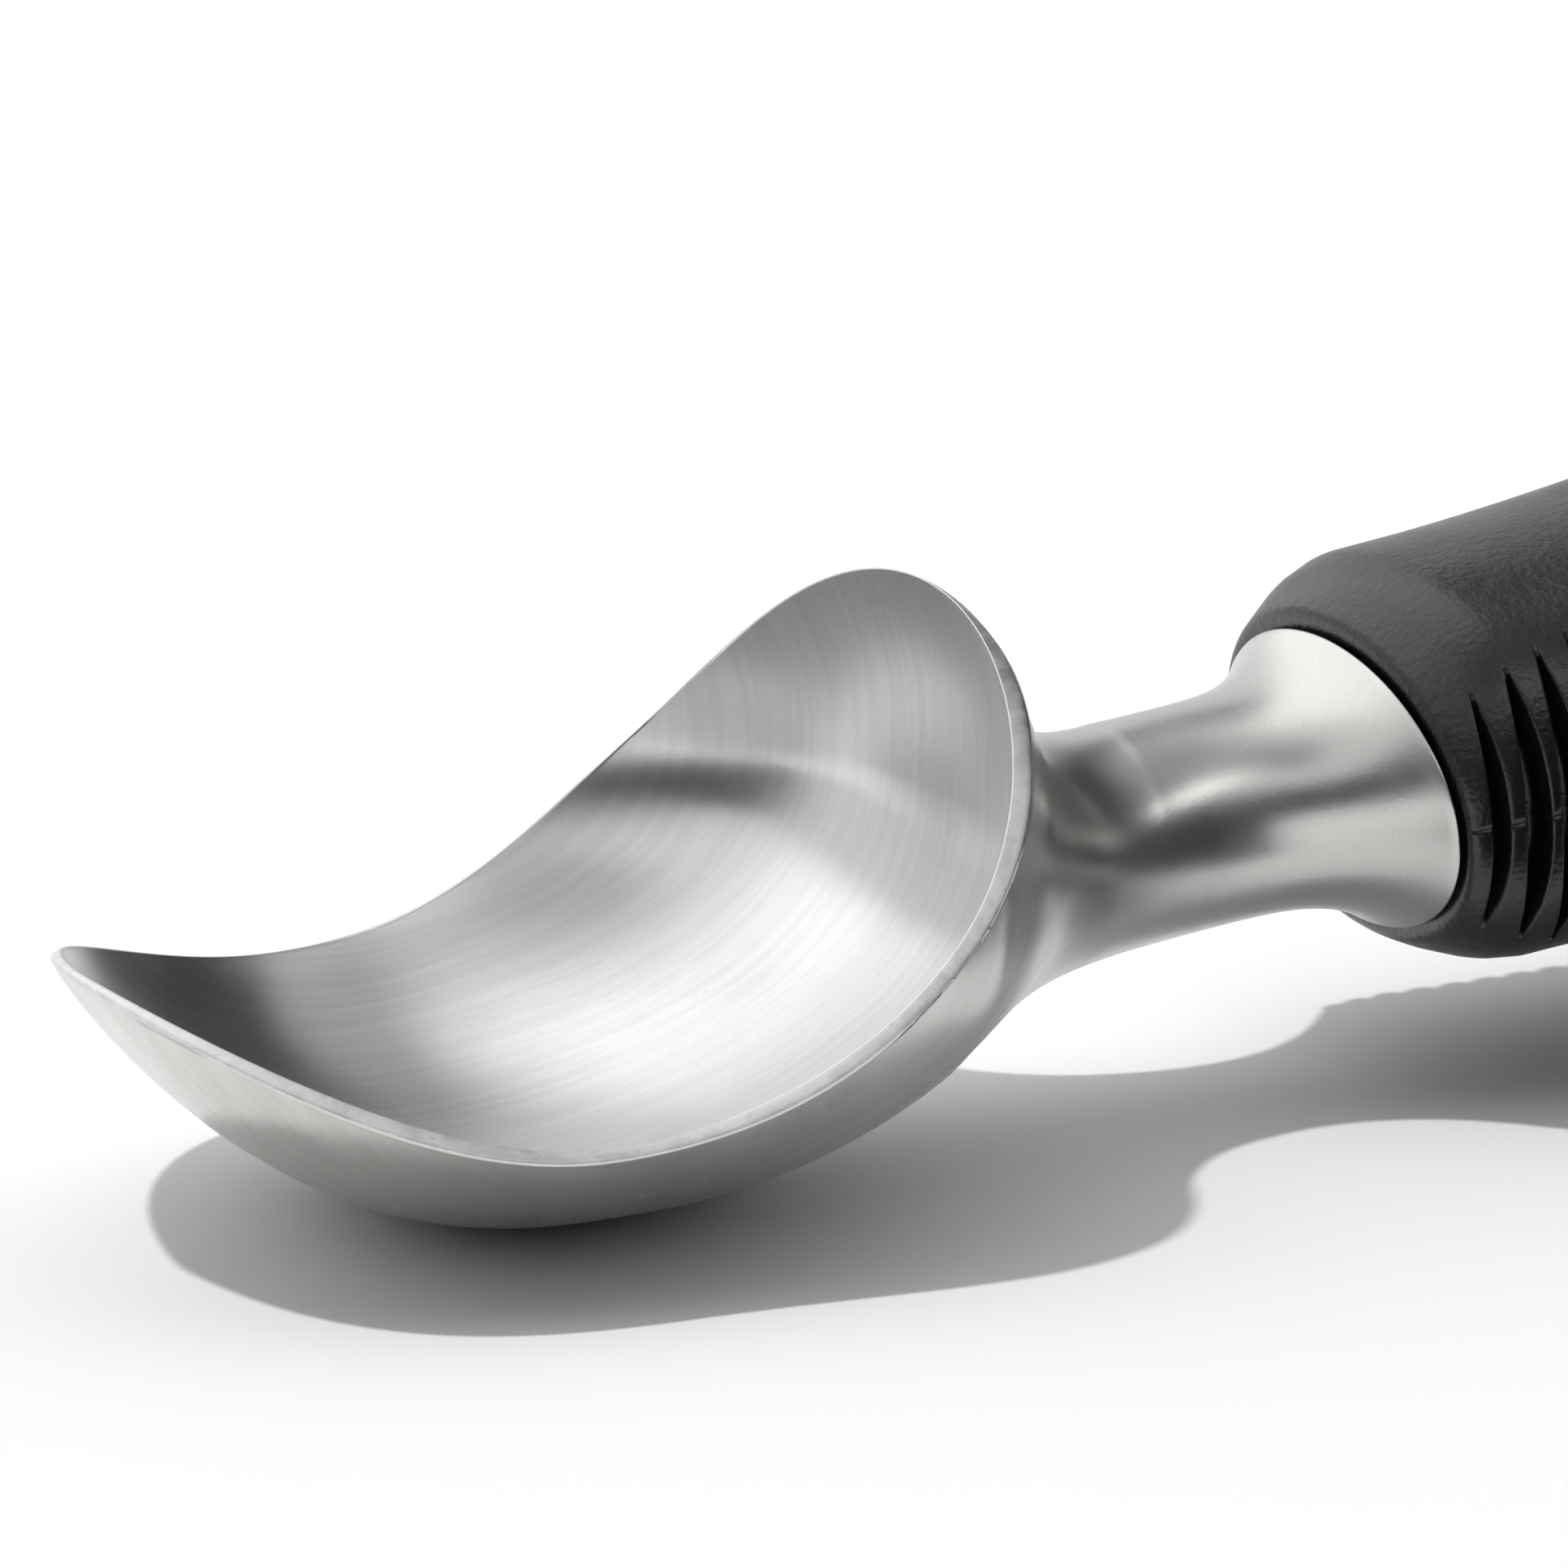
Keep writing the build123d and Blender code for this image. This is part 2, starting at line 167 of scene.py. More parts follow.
# Fins moulded into both sides of the grip, left between leaf-shaped slots
SLOT_COUNT = 13
SLOT_PITCH = 2.6
SLOT_WIDTH = 1.85
SLOT_FIRST = 2.4
SLOT_FIRST_WIDTH = 1.2
SLOT_FRONT_POWER = 0.6
SLOT_BACK_POWER = 1.0
SLOT_DEPTH = 2.4
SLOT_END_HALF_HEIGHT = 6.0
SLOT_MIDDLE_HALF_HEIGHT = 11.0
SLOT_EDGE_ROUND = 0.2
SLOT_OPENING = 0.3
SLOT_TIP_HALF = 0.14
SLOT_FLOOR_HALF = 0.05

# Steps in the meshes
RIM_STEPS = 100
WALL_STEPS = 44
WALL_FIRST_STEP = 0.7
WALL_FIRST_SHARE = 1 / 6
WALL_STEP_POWER = 1.25
OUTSIDE_CROWDING = 1.0
INSIDE_CROWDING = 3.0
NECK_RING_X = 66.0
NECK_TURN_POWER = 1.6
NECK_STEPS = 21
FLARE_STEPS = 29
PATH_SAMPLES = 160
RIM_SAMPLES = 300
GRIP_COLUMNS = 160
ROOM_STEPS = 17
ROOM_END_STEPS = 6
PALM_STEPS = 43
HEEL_STEPS = 14
HOLE_SIDES = 96
HOLE_ROUND_STEPS = 6
HALVINGS = 50

# Length of a curve's handle, as a share of the radius, that makes a round quarter
ROUND = 0.5523

# Places along X that follow from the lengths above
BOWL_END = BOWL_LENGTH + BOWL_BACK_REACH
CAVITY_END = BOWL_LENGTH + CAVITY_BACK_REACH
NECK_BLEND_START = BOWL_LENGTH - NECK_BLEND_LEAD
NECK_START = NECK_BLEND_START + NECK_BLEND_LENGTH
FUNNEL_START = BOWL_LENGTH + FUNNEL_LEAD
SEAM_X = NECK_START + NECK_LENGTH
FLARE_TALL_START = SEAM_X - FLARE_TALL_LENGTH
FLARE_WIDE_START = SEAM_X - FLARE_WIDE_LENGTH

tip_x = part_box("scoop_casting")[0].x / MM - TIP_BLUNT
to_frame = Matrix.Scale(MM, 4) @ Matrix.Translation((tip_x, 0, 0))


def ease(share):
    """S-curve from 0 to 1, held at both ends."""
    held = min(1.0, max(0.0, share))
    return held * held * (3 - 2 * held)


def soft_ease(share):
    """S-curve from 0 to 1 with an even gentler start and end."""
    held = min(1.0, max(0.0, share))
    return held ** 3 * (10 - 15 * held + 6 * held * held)


def climb(x, start, end):
    """Height at x of the smooth curve between two points, each an x, a height and a slope."""
    run = end[0] - start[0]
    share = (x - start[0]) / run
    rise = end[1] - start[1]
    bend_in = start[2] * run - rise
    bend_out = rise - end[2] * run
    return start[1] + rise * share + share * (1 - share) * ((1 - share) * bend_in + share * bend_out)


def meeting(low, high, difference):
    """Place between low and high where difference rises through zero."""
    for _ in range(HALVINGS):
        middle = (low + high) / 2
        if difference(middle) > 0:
            high = middle
        else:
            low = middle
    return (low + high) / 2


def keel(x):
    """Height of the bowl's underside on the plane of symmetry."""
    if x < KEEL_LOW_START:
        return TIP_HEIGHT * ((KEEL_LOW_START - x) / KEEL_LOW_START) ** KEEL_FRONT_POWER
    if x > KEEL_LOW_END:
        return KEEL_BACK_RISE * ((x - KEEL_LOW_END) / (BOWL_LENGTH - KEEL_LOW_END)) ** KEEL_BACK_POWER
    return 0.0


def neck_axis(x):
    """Height of the neck's axis, which rises evenly towards the handle."""
    return NECK_HEIGHT + math.tan(math.radians(NECK_SLOPE_DEG)) * (x - NECK_START)


def underside(x):
    """The keel, and behind it the underside of the neck, with the corner between them eased."""
    if x < KEEL_LOW_END:
        return keel(x)
    corner = KEEL_EASE * ease((x - KEEL_LOW_END) / (BOWL_LENGTH - KEEL_LOW_END))
    neck = neck_axis(x) - NECK_RADIUS
    drop = neck - keel(x)
    return neck - (drop + math.hypot(drop, corner)) / 2


def bowl_roundness(x):
    """Share of the bowl's full width left at x: a half ellipse to the tip, blunter to the back."""
    if x < BOWL_MIDDLE:
        return math.sqrt(max(0.0, 1 - ((x - BOWL_MIDDLE) / BOWL_MIDDLE) ** 2))
    behind = min(1.0, (x - BOWL_MIDDLE) / (BOWL_END - BOWL_MIDDLE))
    return (1 - behind ** BOWL_BACK_POWER) ** (1 / BOWL_BACK_ROOT)


def flare(x, start, power):
    """Share of the shoulder's full size reached at x."""
    return max(0.0, (x - start) / (SEAM_X - start)) ** power


def head_oval(x):
    """Half-width, centre height, rise, drop and lean of the head's outer section at x."""
    past_bowl = max(0.0, (x - NECK_BLEND_START) / NECK_BLEND_LENGTH)
    bowl = 1 - soft_ease(past_bowl ** NECK_BLEND_POWER)
    widening = flare(x, FLARE_WIDE_START, FLARE_WIDE_POWER)
    neck_width = NECK_RADIUS + (SHOULDER_HALF_WIDTH - NECK_RADIUS) * widening
    swell = (SHOULDER_HALF_HEIGHT - NECK_RADIUS) * flare(x, FLARE_TALL_START, FLARE_TALL_POWER)
    axis = neck_axis(x)
    neck_top = axis + NECK_RADIUS + swell
    half_width = BOWL_HALF_WIDTH * bowl_roundness(min(x, FUNNEL_START))
    top = BOWL_CENTRE_HEIGHT + BOWL_CROWN * bowl_roundness(min(x, FUNNEL_START))
    if x > FUNNEL_START:
        wide = max(0.0, 1 - (x - FUNNEL_START) / FUNNEL_WIDE_LENGTH) ** FUNNEL_POWER
        tall = max(0.0, 1 - (x - FUNNEL_START) / FUNNEL_TALL_LENGTH) ** FUNNEL_POWER
        half_width = neck_width + (half_width - NECK_RADIUS) * wide
        top = neck_top + (top - neck_axis(FUNNEL_START) - NECK_RADIUS) * tall
    centre = axis + (BOWL_CENTRE_HEIGHT - axis) * bowl
    lean = math.radians(SEAM_LEAN_DEG) * ease((x - NECK_START) / (FLARE_TALL_START - NECK_START))
    return half_width, centre, top - centre, centre - (underside(x) - swell), lean


def cavity_oval(x):
    """The same measures of the bowl's hollow at x."""
    front_keel = FLOOR_KEEL_SHARE * keel(x) if x < KEEL_LOW_START else 0.0
    below = BOWL_CENTRE_HEIGHT - FLOOR_WALL - front_keel
    if x < BOWL_MIDDLE:
        ahead = min(1.0, (BOWL_MIDDLE - x) / (BOWL_MIDDLE - TIP_WALL))
        share = (1 - ahead ** CAVITY_FRONT_POWER) ** (1 / CAVITY_FRONT_ROOT)
    else:
        behind = min(1.0, (x - BOWL_MIDDLE) / (CAVITY_END - BOWL_MIDDLE))
        left = 1 - behind ** CAVITY_BACK_POWER
        share = left ** (1 / CAVITY_SIDE_ROOT)
        below *= left ** (1 / CAVITY_FLOOR_ROOT)
    across = (BOWL_HALF_WIDTH - SIDE_WALL) * share
    return across, BOWL_CENTRE_HEIGHT, CAVITY_CROWN * share, below, 0.0


def oval_point(x, oval, turn):
    """Point on an oval section at x, turned from its lowest point towards +Y."""
    half_width, centre, above, below, lean = oval
    drop = math.cos(turn)
    up = -drop * (below if drop > 0 else above)
    return Vector((x - up * math.sin(lean), half_width * math.sin(turn), centre + up * math.cos(lean)))


def oval_turn(y, z, oval):
    """How far round its section a point at y and z lies, from the lowest point towards +Y."""
    half_width, centre, above, below, lean = oval
    up = z - centre
    return math.atan2(y / max(half_width, WELD), -up / (above if up > 0 else below))


def rim_height(x):
    """Height of the rim's inner edge at x: down from the tip to the low side, then up to the high back."""
    low = (RIM_LOW_X, RIM_LOW_HEIGHT, 0)
    rise = (RIM_RISE_X, RIM_RISE_HEIGHT, RIM_RISE_SLOPE)
    if x < RIM_LOW_X:
        return climb(x, (0, RIM_TIP_HEIGHT, RIM_TIP_SLOPE), low)
    if x < RIM_RISE_X:
        return climb(x, low, rise)
    back = BOWL_CENTRE_HEIGHT + cavity_oval(BOWL_LENGTH)[2]
    return climb(x, rise, (BOWL_LENGTH, back, RIM_BACK_SLOPE))


def rim_half_width(x):
    """Half-width of the hollow at the height of the rim's inner edge."""
    across, centre, above, below, lean = cavity_oval(x)
    rise = rim_height(x) - centre
    share = rise / (above if rise > 0 else below)
    return across * math.sqrt(max(0.0, 1 - share * share))


def outside_head(x, y, z):
    """Below zero inside the head's outer form and above zero outside it."""
    if x <= 0:
        return 1.0
    half_width, centre, above, below, lean = head_oval(x)
    up = (z - centre) / (above if z > centre else below)
    return (y / max(half_width, WELD)) ** 2 + up * up - 1


def rim_point(turn):
    """Inner and outer edge of the rim, turned from the tip round the bowl's middle."""
    x = meeting(TIP_WALL, BOWL_LENGTH, lambda x: math.atan2(rim_half_width(x), RIM_MIDDLE - x) - turn)
    inner = Vector((x, rim_half_width(x), rim_height(x)))
    outwards = Vector((-math.cos(turn), math.sin(turn), -RIM_FALL))
    width = meeting(0, RIM_REACH, lambda width: outside_head(*(inner + outwards * width)))
    return inner, inner + outwards * width


def rim_runs():
    """Evenly spaced places along the rim's inner and outer edge, each with its x and its turn."""
    turns = np.linspace(0, np.pi, RIM_SAMPLES)
    inner = np.array([rim_point(turn)[0] for turn in turns])
    run = np.concatenate([[0], np.cumsum(np.linalg.norm(np.diff(inner, axis=0), axis=1))])
    even = np.interp(np.linspace(0, run[-1], RIM_STEPS + 1), run, turns)
    inner_run = []
    outer_run = []
    for turn in even:
        inside, outside = rim_point(turn)
        inner_run.append((inside.x, oval_turn(inside.y, inside.z, cavity_oval(inside.x))))
        outer_run.append((outside.x, oval_turn(outside.y, outside.z, head_oval(outside.x))))
    return inner_run, outer_run


def wall_path(start_x, start_turn, end_x, end_turn, oval_at, crowding):
    """Points down a wall from the rim, first straight away from it and then along the bowl."""
    points = []
    for i in range(PATH_SAMPLES + 1):
        left = (1 - i / PATH_SAMPLES) ** crowding
        x = end_x + (start_x - end_x) * left
        turn = end_turn + (start_turn - end_turn) * left ** 3
        points.append(oval_point(x, oval_at(x), turn))
    points = np.array(points)
    run = np.concatenate([[0], np.cumsum(np.linalg.norm(np.diff(points, axis=0), axis=1))])
    first = min(WALL_FIRST_STEP, run[-1] * WALL_FIRST_SHARE)
    rest = (np.arange(WALL_STEPS) / (WALL_STEPS - 1)) ** WALL_STEP_POWER
    wanted = np.concatenate([[0], first + (run[-1] - first) * rest])
    return np.stack([np.interp(wanted, run, points[:, k]) for k in range(3)], axis=1)


def end_turn(step):
    """How far round the neck a path ends that starts at this step along the rim."""
    return math.pi * (step / RIM_STEPS) ** NECK_TURN_POWER


def sheet(bm, rows, columns, place):
    """Grid of rows by columns whose points are then put in place."""
    made = bmesh.ops.create_grid(bm, x_segments=columns, y_segments=rows, size=1)["verts"]
    for vert in made:
        column = round((vert.co.x + 1) / 2 * columns)
        row = round((vert.co.y + 1) / 2 * rows)
        vert.co = place(row, column)
    return made


def ring_on(bm, edges, matrix):
    """Extrudes a ring of edges and moves the new ring by the matrix. Returns the new ring."""
    made = bmesh.ops.extrude_edge_only(bm, edges=edges)["geom"]
    verts = [g for g in made if isinstance(g, bmesh.types.BMVert)]
    bmesh.ops.transform(bm, matrix=matrix, verts=verts)
    return [g for g in made if isinstance(g, bmesh.types.BMEdge)
            and g.is_boundary]


def add_piece(bm, name, materials):
    """Turns the finished bmesh into an object at the origin, in metres, in the frame."""
    mesh = bpy.data.meshes.new(name)
    bm.to_mesh(mesh)
    bm.free()
    mesh.transform(to_frame)
    mesh.shade_smooth()
    for material in materials:
        mesh.materials.append(material)
    piece = bpy.data.objects.new(name, mesh)
    bpy.context.scene.collection.objects.link(piece)
    return piece


def scoop_head(materials):
    """Bowl with its rim, neck and flared shoulder, and the spigot and tang inside the handle."""
    inner_run, outer_run = rim_runs()
    neck_x = np.concatenate([
        np.linspace(NECK_RING_X, FLARE_WIDE_START, NECK_STEPS + 1)[1:],
        np.linspace(FLARE_WIDE_START, SEAM_X, FLARE_STEPS + 1)[1:],
    ])
    outer = []
    inner = []
    for step in range(RIM_STEPS + 1):
        turn = end_turn(step)
        wall = wall_path(*outer_run[step], NECK_RING_X, turn, head_oval, OUTSIDE_CROWDING)
        neck = [oval_point(x, head_oval(x), turn) for x in neck_x]
        outer.append(np.concatenate([wall, neck]))
        inner.append(wall_path(*inner_run[step], CAVITY_END, turn, cavity_oval, INSIDE_CROWDING))

    def placed(paths):
        def place(row, column):
            step = column - RIM_STEPS
            x, y, z = paths[abs(step)][row]
            return x, math.copysign(y, step), z
        return place

    bm = bmesh.new()
    sheet(bm, len(outer[0]) - 1, 2 * RIM_STEPS, placed(outer))
    made = sheet(bm, len(inner[0]) - 1, 2 * RIM_STEPS, placed(inner))
    for face in {face for vert in made for face in vert.link_faces}:
        face.material_index = 1
    bmesh.ops.remove_doubles(bm, verts=bm.verts, dist=WELD)

    held = {vert for edge in bm.edges if edge.is_boundary for vert in edge.verts}
    for _ in range(FILLET_HELD_ROWS):
        held |= {edge.other_vert(vert) for vert in held for edge in vert.link_edges}
    outside = [vert for vert in bm.verts if not vert.link_faces[0].material_index]
    soft = [vert for vert in outside if FILLET_FROM < vert.co.x < FILLET_TO and vert not in held]
    for _ in range(FILLET_PASSES):
        bmesh.ops.smooth_vert(
            bm, verts=soft, factor=0.5, use_axis_x=True, use_axis_y=True, use_axis_z=True)

    seam = [e for e in bm.edges if e.is_boundary and min(v.co.x for v in e.verts) > NECK_START]
    outer_lip = []
    inner_lip = []
    for edge in bm.edges:
        if edge.is_boundary and max(v.co.x for v in edge.verts) < NECK_START:
            (inner_lip if edge.link_faces[0].material_index else outer_lip).append(edge)
    brushing = bm.loops.layers.uv.new("brushing")
    for face in bm.faces:
        for loop in face.loops:
            x, y, z = loop.vert.co
            loop[brushing].uv = y / BOWL_LENGTH, math.atan2(x - BRUSH_X, BRUSH_HEIGHT - z)
    land = bmesh.ops.bridge_loops(bm, edges=outer_lip + inner_lip)["faces"]
    for face in land:
        face.material_index = 2

    seam_frame = Matrix.Translation((SEAM_X, 0, neck_axis(SEAM_X))) @ Matrix.Rotation(
        -math.radians(SEAM_LEAN_DEG), 4, "Y")
    tang_frame = Matrix.Translation((SEAM_X, 0, neck_axis(SEAM_X))) @ Matrix.Rotation(
        -math.radians(NECK_SLOPE_DEG), 4, "Y")

    def within(place, matrix):
        return place @ matrix @ place.inverted()

    spigot_half_width = SHOULDER_HALF_WIDTH - SPIGOT_INSET
    spigot_half_height = SHOULDER_HALF_HEIGHT - SPIGOT_INSET
    to_spigot = Matrix.Diagonal((
        1, spigot_half_width / SHOULDER_HALF_WIDTH, spigot_half_height / SHOULDER_HALF_HEIGHT, 1))
    to_tang = Matrix.Diagonal((
        1, TANG_HALF_WIDTH / spigot_half_width, TANG_HALF_THICKNESS / spigot_half_height, 1))
    ring = ring_on(bm, seam, within(seam_frame, to_spigot))
    ring = ring_on(bm, ring, within(seam_frame, Matrix.Translation((SPIGOT_LENGTH, 0, 0))))
    ring = ring_on(bm, ring, within(seam_frame, to_tang))
    ring = ring_on(bm, ring, within(tang_frame, Matrix.Translation((TANG_LENGTH - SPIGOT_LENGTH, 0, 0))))
    bmesh.ops.contextual_create(bm, geom=ring)

    bmesh.ops.recalc_face_normals(bm, faces=bm.faces)
    for lip, width in ((outer_lip, RIM_OUTER_ROUND), (inner_lip, RIM_INNER_ROUND), (seam, SHOULDER_ROUND)):
        bmesh.ops.bevel(
            bm, geom=lip, offset=width, offset_type="OFFSET", segments=RIM_ROUND_STEPS,
            profile=0.5, affect="EDGES", clamp_overlap=False, material=-1)
    return add_piece(bm, "scoop_head", materials)


def grip_place(along):
    """X, Z and slope of the grip's centre line: straight behind the seam, then arched down."""
    slope = math.radians(NECK_SLOPE_DEG)
    straight = min(along, GRIP_STRAIGHT)
    turn = slope - max(0.0, along - GRIP_STRAIGHT) / GRIP_ARCH_RADIUS
    x = SEAM_X + straight * math.cos(slope) + GRIP_ARCH_RADIUS * (math.sin(slope) - math.sin(turn))
    z = neck_axis(SEAM_X) + straight * math.sin(slope)
    return x, z + GRIP_ARCH_RADIUS * (math.cos(turn) - math.cos(slope)), turn


def grip_size(along):
    """Half-width of the grip, its reach above and below the centre line, and how full its section is."""
    nose = 1 - (1 - min(1.0, along / NOSE_LENGTH)) ** 2
    palm = ease((along - NOSE_LENGTH) / (PALM_AT - NOSE_LENGTH))
    heel = ease((along - PALM_AT) / (HEEL_AT - PALM_AT))
    edge_height = SHOULDER_HALF_HEIGHT + NOSE_PROUD
    stages = (
        (SHOULDER_HALF_WIDTH + NOSE_PROUD, FRONT_HALF_WIDTH, PALM_HALF_WIDTH, HEEL_HALF_WIDTH),
        (edge_height, FRONT_ABOVE, PALM_ABOVE, HEEL_HALF_HEIGHT),
        (edge_height, FRONT_BELOW, PALM_BELOW, HEEL_HALF_HEIGHT),
    )
    sizes = []
    for size, *later in stages:
        for next_size, share in zip(later, (nose, palm, heel)):
            size += (next_size - size) * share
        sizes.append(size)
    return *sizes, ROUND + (GRIP_FULLNESS - ROUND) * nose


def quarter(share, fullness):
    """Reach along one axis at a share of the way round a quarter, from 1 down to 0."""
    left = 1 - share
    return left ** 3 + 3 * left * left * share + 3 * left * share * share * fullness


def full_oval(turn, fullness):
    """Shares across and up at a turn round a section of four such quarters."""
    count, share = divmod(turn / (math.pi / 2), 1)
    across, up = quarter(share, fullness), quarter(1 - share, fullness)
    return ((across, up), (-up, across), (-across, -up), (up, -across))[int(count) % 4]


def front_lean(along):
    """Extra lean of the sections near the seam."""
    return math.radians(SEAM_LEAN_DEG - NECK_SLOPE_DEG) * (1 - ease(along / GRIP_STRAIGHT))


def grip_point(along, turn, inset=0.0):
    """Point on the grip's skin, set in by inset. The turn starts at +Y and goes over the top."""
    x, z, slope = grip_place(along)
    half_width, above, below, fullness = grip_size(along)
    end = min(1.0, max(0.0, along - HEEL_AT) / (GRIP_LENGTH - HEEL_AT - inset))
    closing = math.sqrt(1 - end * end)
    across_share, up_share = full_oval(turn, fullness)
    up = ((above if up_share > 0 else below) - inset) * closing * up_share
    lean = slope + front_lean(along)
    across = (half_width - inset) * closing * across_share
    return Vector((x - up * math.sin(lean), across, z + up * math.cos(lean)))


def mouth_point(along, turn, spare):
    """Point on the grip's mouth, which is the spigot's oval with a little to spare."""
    lean = math.radians(SEAM_LEAN_DEG)
    across = (SHOULDER_HALF_WIDTH - SPIGOT_INSET + spare) * math.cos(turn)
    up = (SHOULDER_HALF_HEIGHT - SPIGOT_INSET + spare) * math.sin(turn)
    x = SEAM_X + along * math.cos(lean) - up * math.sin(lean)
    return Vector((x, across, neck_axis(SEAM_X) + along * math.sin(lean) + up * math.cos(lean)))


def slot_row(index, side, edge, sunk):
    """One row of points along a slot: side of its middle, distance from its edge, share of its depth."""
    middle = SLOT_FIRST + SLOT_PITCH * index
    rise = math.sqrt(1 - ((2 * index + 1) / SLOT_COUNT - 1) ** 2)
    tall = SLOT_END_HALF_HEIGHT + (SLOT_MIDDLE_HALF_HEIGHT - SLOT_END_HALF_HEIGHT) * rise
    width = SLOT_WIDTH if index else SLOT_FIRST_WIDTH
    power = SLOT_FRONT_POWER if side < 0 else SLOT_BACK_POWER

    def place(turn):
        half_width, above, below, fullness = grip_size(middle)
        up_share = full_oval(turn, fullness)[1]
        level = (above if up_share > 0 else below) * up_share
        half = width / 2 * max(0.0, 1 - (level / tall) ** 2) ** power
        open_share = ease(half / SLOT_OPENING)
        shown = max(half, SLOT_TIP_HALF)
        reach = shown + (edge if edge > 0 else edge * open_share * shown)
        offset = side * max(SLOT_FLOOR_HALF, reach)
        along = middle + offset + level * math.sin(front_lean(middle))
        return grip_point(max(SEAM_GAP, along), turn, SLOT_DEPTH * sunk * open_share)

    return place


def grip_rows():
    """Rows of the grip from its inner end round the mouth to the heel, and the number hidden inside."""
    room = GRIP_SKIN - BOND_LINE
    room_end = GRIP_LENGTH - room
    room_front = SPIGOT_LENGTH + BOND_LINE
    rows = []

    def skin(along, inset=0.0):
        rows.append(lambda turn: grip_point(along, turn, inset))

    def mouth(along, spare):
        rows.append(lambda turn: mouth_point(along, turn, spare))

    for i in range(ROOM_END_STEPS + 1):
        skin(HEEL_AT + (room_end - HEEL_AT) * math.cos(math.pi / 2 * i / ROOM_END_STEPS), room)
    for along in np.linspace(HEEL_AT, room_front, ROOM_STEPS + 1)[1:]:
        skin(along, room)
    mouth(room_front, BOND_LINE)
    mouth(room_front / 2, BOND_LINE)
    mouth(SEAM_GAP + MOUTH_ROUND, BOND_LINE)
    mouth(SEAM_GAP, BOND_LINE + MOUTH_ROUND)
    hidden = len(rows)
    for behind, inset in LIP_ROUND:
        skin(SEAM_GAP + behind, inset)
    edge = SLOT_EDGE_ROUND
    bite = SLOT_EDGE_ROUND / SLOT_DEPTH
    profile = [
        (edge, 0.0), (edge * 0.4, bite * 0.12), (edge * 0.1, bite * 0.45), (-0.02, bite),
        (-0.04, 0.5), (-0.06, 0.86), (-0.25, 0.97), (-0.6, 1.0),
    ]
    for index in range(SLOT_COUNT):
        for away, sunk in profile:
            rows.append(slot_row(index, -1, away, sunk))
        for away, sunk in reversed(profile):
            rows.append(slot_row(index, 1, away, sunk))
        if index < SLOT_COUNT - 1:
            rows.append(slot_row(index, 1, SLOT_PITCH / 2 - SLOT_WIDTH / 2, 0.0))
    slots_end = SLOT_FIRST + SLOT_PITCH * (SLOT_COUNT - 1) + SLOT_WIDTH
    for along in np.linspace(slots_end, HEEL_AT, PALM_STEPS + 1)[1:]:
        skin(along)
    for i in range(1, HEEL_STEPS + 1):
        skin(HEEL_AT + (GRIP_LENGTH - HEEL_AT) * math.sin(math.pi / 2 * i / HEEL_STEPS))
    return rows, hidden


def hole_bar(name, radius, flared):
    """Bar through the heel. A flared one follows the skin round both mouths of the hole."""
    along = GRIP_LENGTH - HANG_HOLE_FROM_END
    x, z, slope = grip_place(along)

    def skin_height(reach, turn, upper):
        ahead = reach * math.cos(turn)
        width, above, below, fullness = grip_size(along + ahead)
        end = max(0.0, along + ahead - HEEL_AT) / (GRIP_LENGTH - HEEL_AT)
        closing = math.sqrt(1 - end * end)
        across = abs(reach * math.sin(turn)) / (width * closing)
        share = meeting(0, 1, lambda share: across - quarter(share, fullness))
        height = (above if upper else below) * closing * quarter(1 - share, fullness)
        return height, ahead * ahead / (2 * GRIP_ARCH_RADIUS)

    rings = [(0.0, None)]
    if flared:
        for i in range(HOLE_ROUND_STEPS + 1):
            bend = math.pi / 2 * i / HOLE_ROUND_STEPS
            rings.append((HANG_HOLE_ROUND * (1 - math.cos(bend)), HANG_HOLE_ROUND * (1 - math.sin(bend))))
        rings.append((HANG_HOLE_ROUND + CUTTER_WIDER, -CUTTER_PAST))
        rings.append((HANG_HOLE_ROUND + CUTTER_WIDER, -CUTTER_LID_PAST))
    else:
        rings.append((0.0, LINING_SHORT))

    def place(row, column):
        level = row - len(rings) + 1
        wider, below = rings[abs(level)]
        turn = 2 * math.pi * column / HOLE_SIDES
        reach = radius + wider
        height = 0.0
        if below is not None:
            skin, drop = skin_height(min(reach, radius + HANG_HOLE_ROUND), turn, level > 0)
            height = math.copysign(1, level) * (skin - below) - drop
        return reach * math.cos(turn), reach * math.sin(turn), height

    bm = bmesh.new()
    sheet(bm, 2 * len(rings) - 2, HOLE_SIDES, place)
    bmesh.ops.remove_doubles(bm, verts=bm.verts, dist=WELD)
    for upper in (True, False):
        lid = [e for e in bm.edges if e.is_boundary and (e.verts[0].co.z > 0) == upper]
        bmesh.ops.contextual_create(bm, geom=lid)
    bmesh.ops.recalc_face_normals(bm, faces=bm.faces)
    bmesh.ops.transform(
        bm, verts=bm.verts,
        matrix=Matrix.Translation((x, 0, z)) @ Matrix.Rotation(-slope, 4, "Y"))
    mesh = bpy.data.meshes.new(name)
    bm.to_mesh(mesh)
    bm.free()
    mesh.transform(to_frame)
    bar = bpy.data.objects.new(name, mesh)
    bpy.context.scene.collection.objects.link(bar)
    return bar


def joined(piece, other, operation):
    """Applies one boolean to the piece and removes the other body."""
    step = piece.modifiers.new(operation.lower(), "BOOLEAN")
    step.operation = operation
    step.object = other
    step.solver = "EXACT"
    bpy.context.view_layer.update()
    graph = bpy.context.evaluated_depsgraph_get()
    mesh = bpy.data.meshes.new_from_object(piece.evaluated_get(graph))
    piece.modifiers.clear()
    old = piece.data
    piece.data = mesh
    bpy.data.meshes.remove(old)
    used = other.data
    bpy.data.objects.remove(other)
    bpy.data.meshes.remove(used)


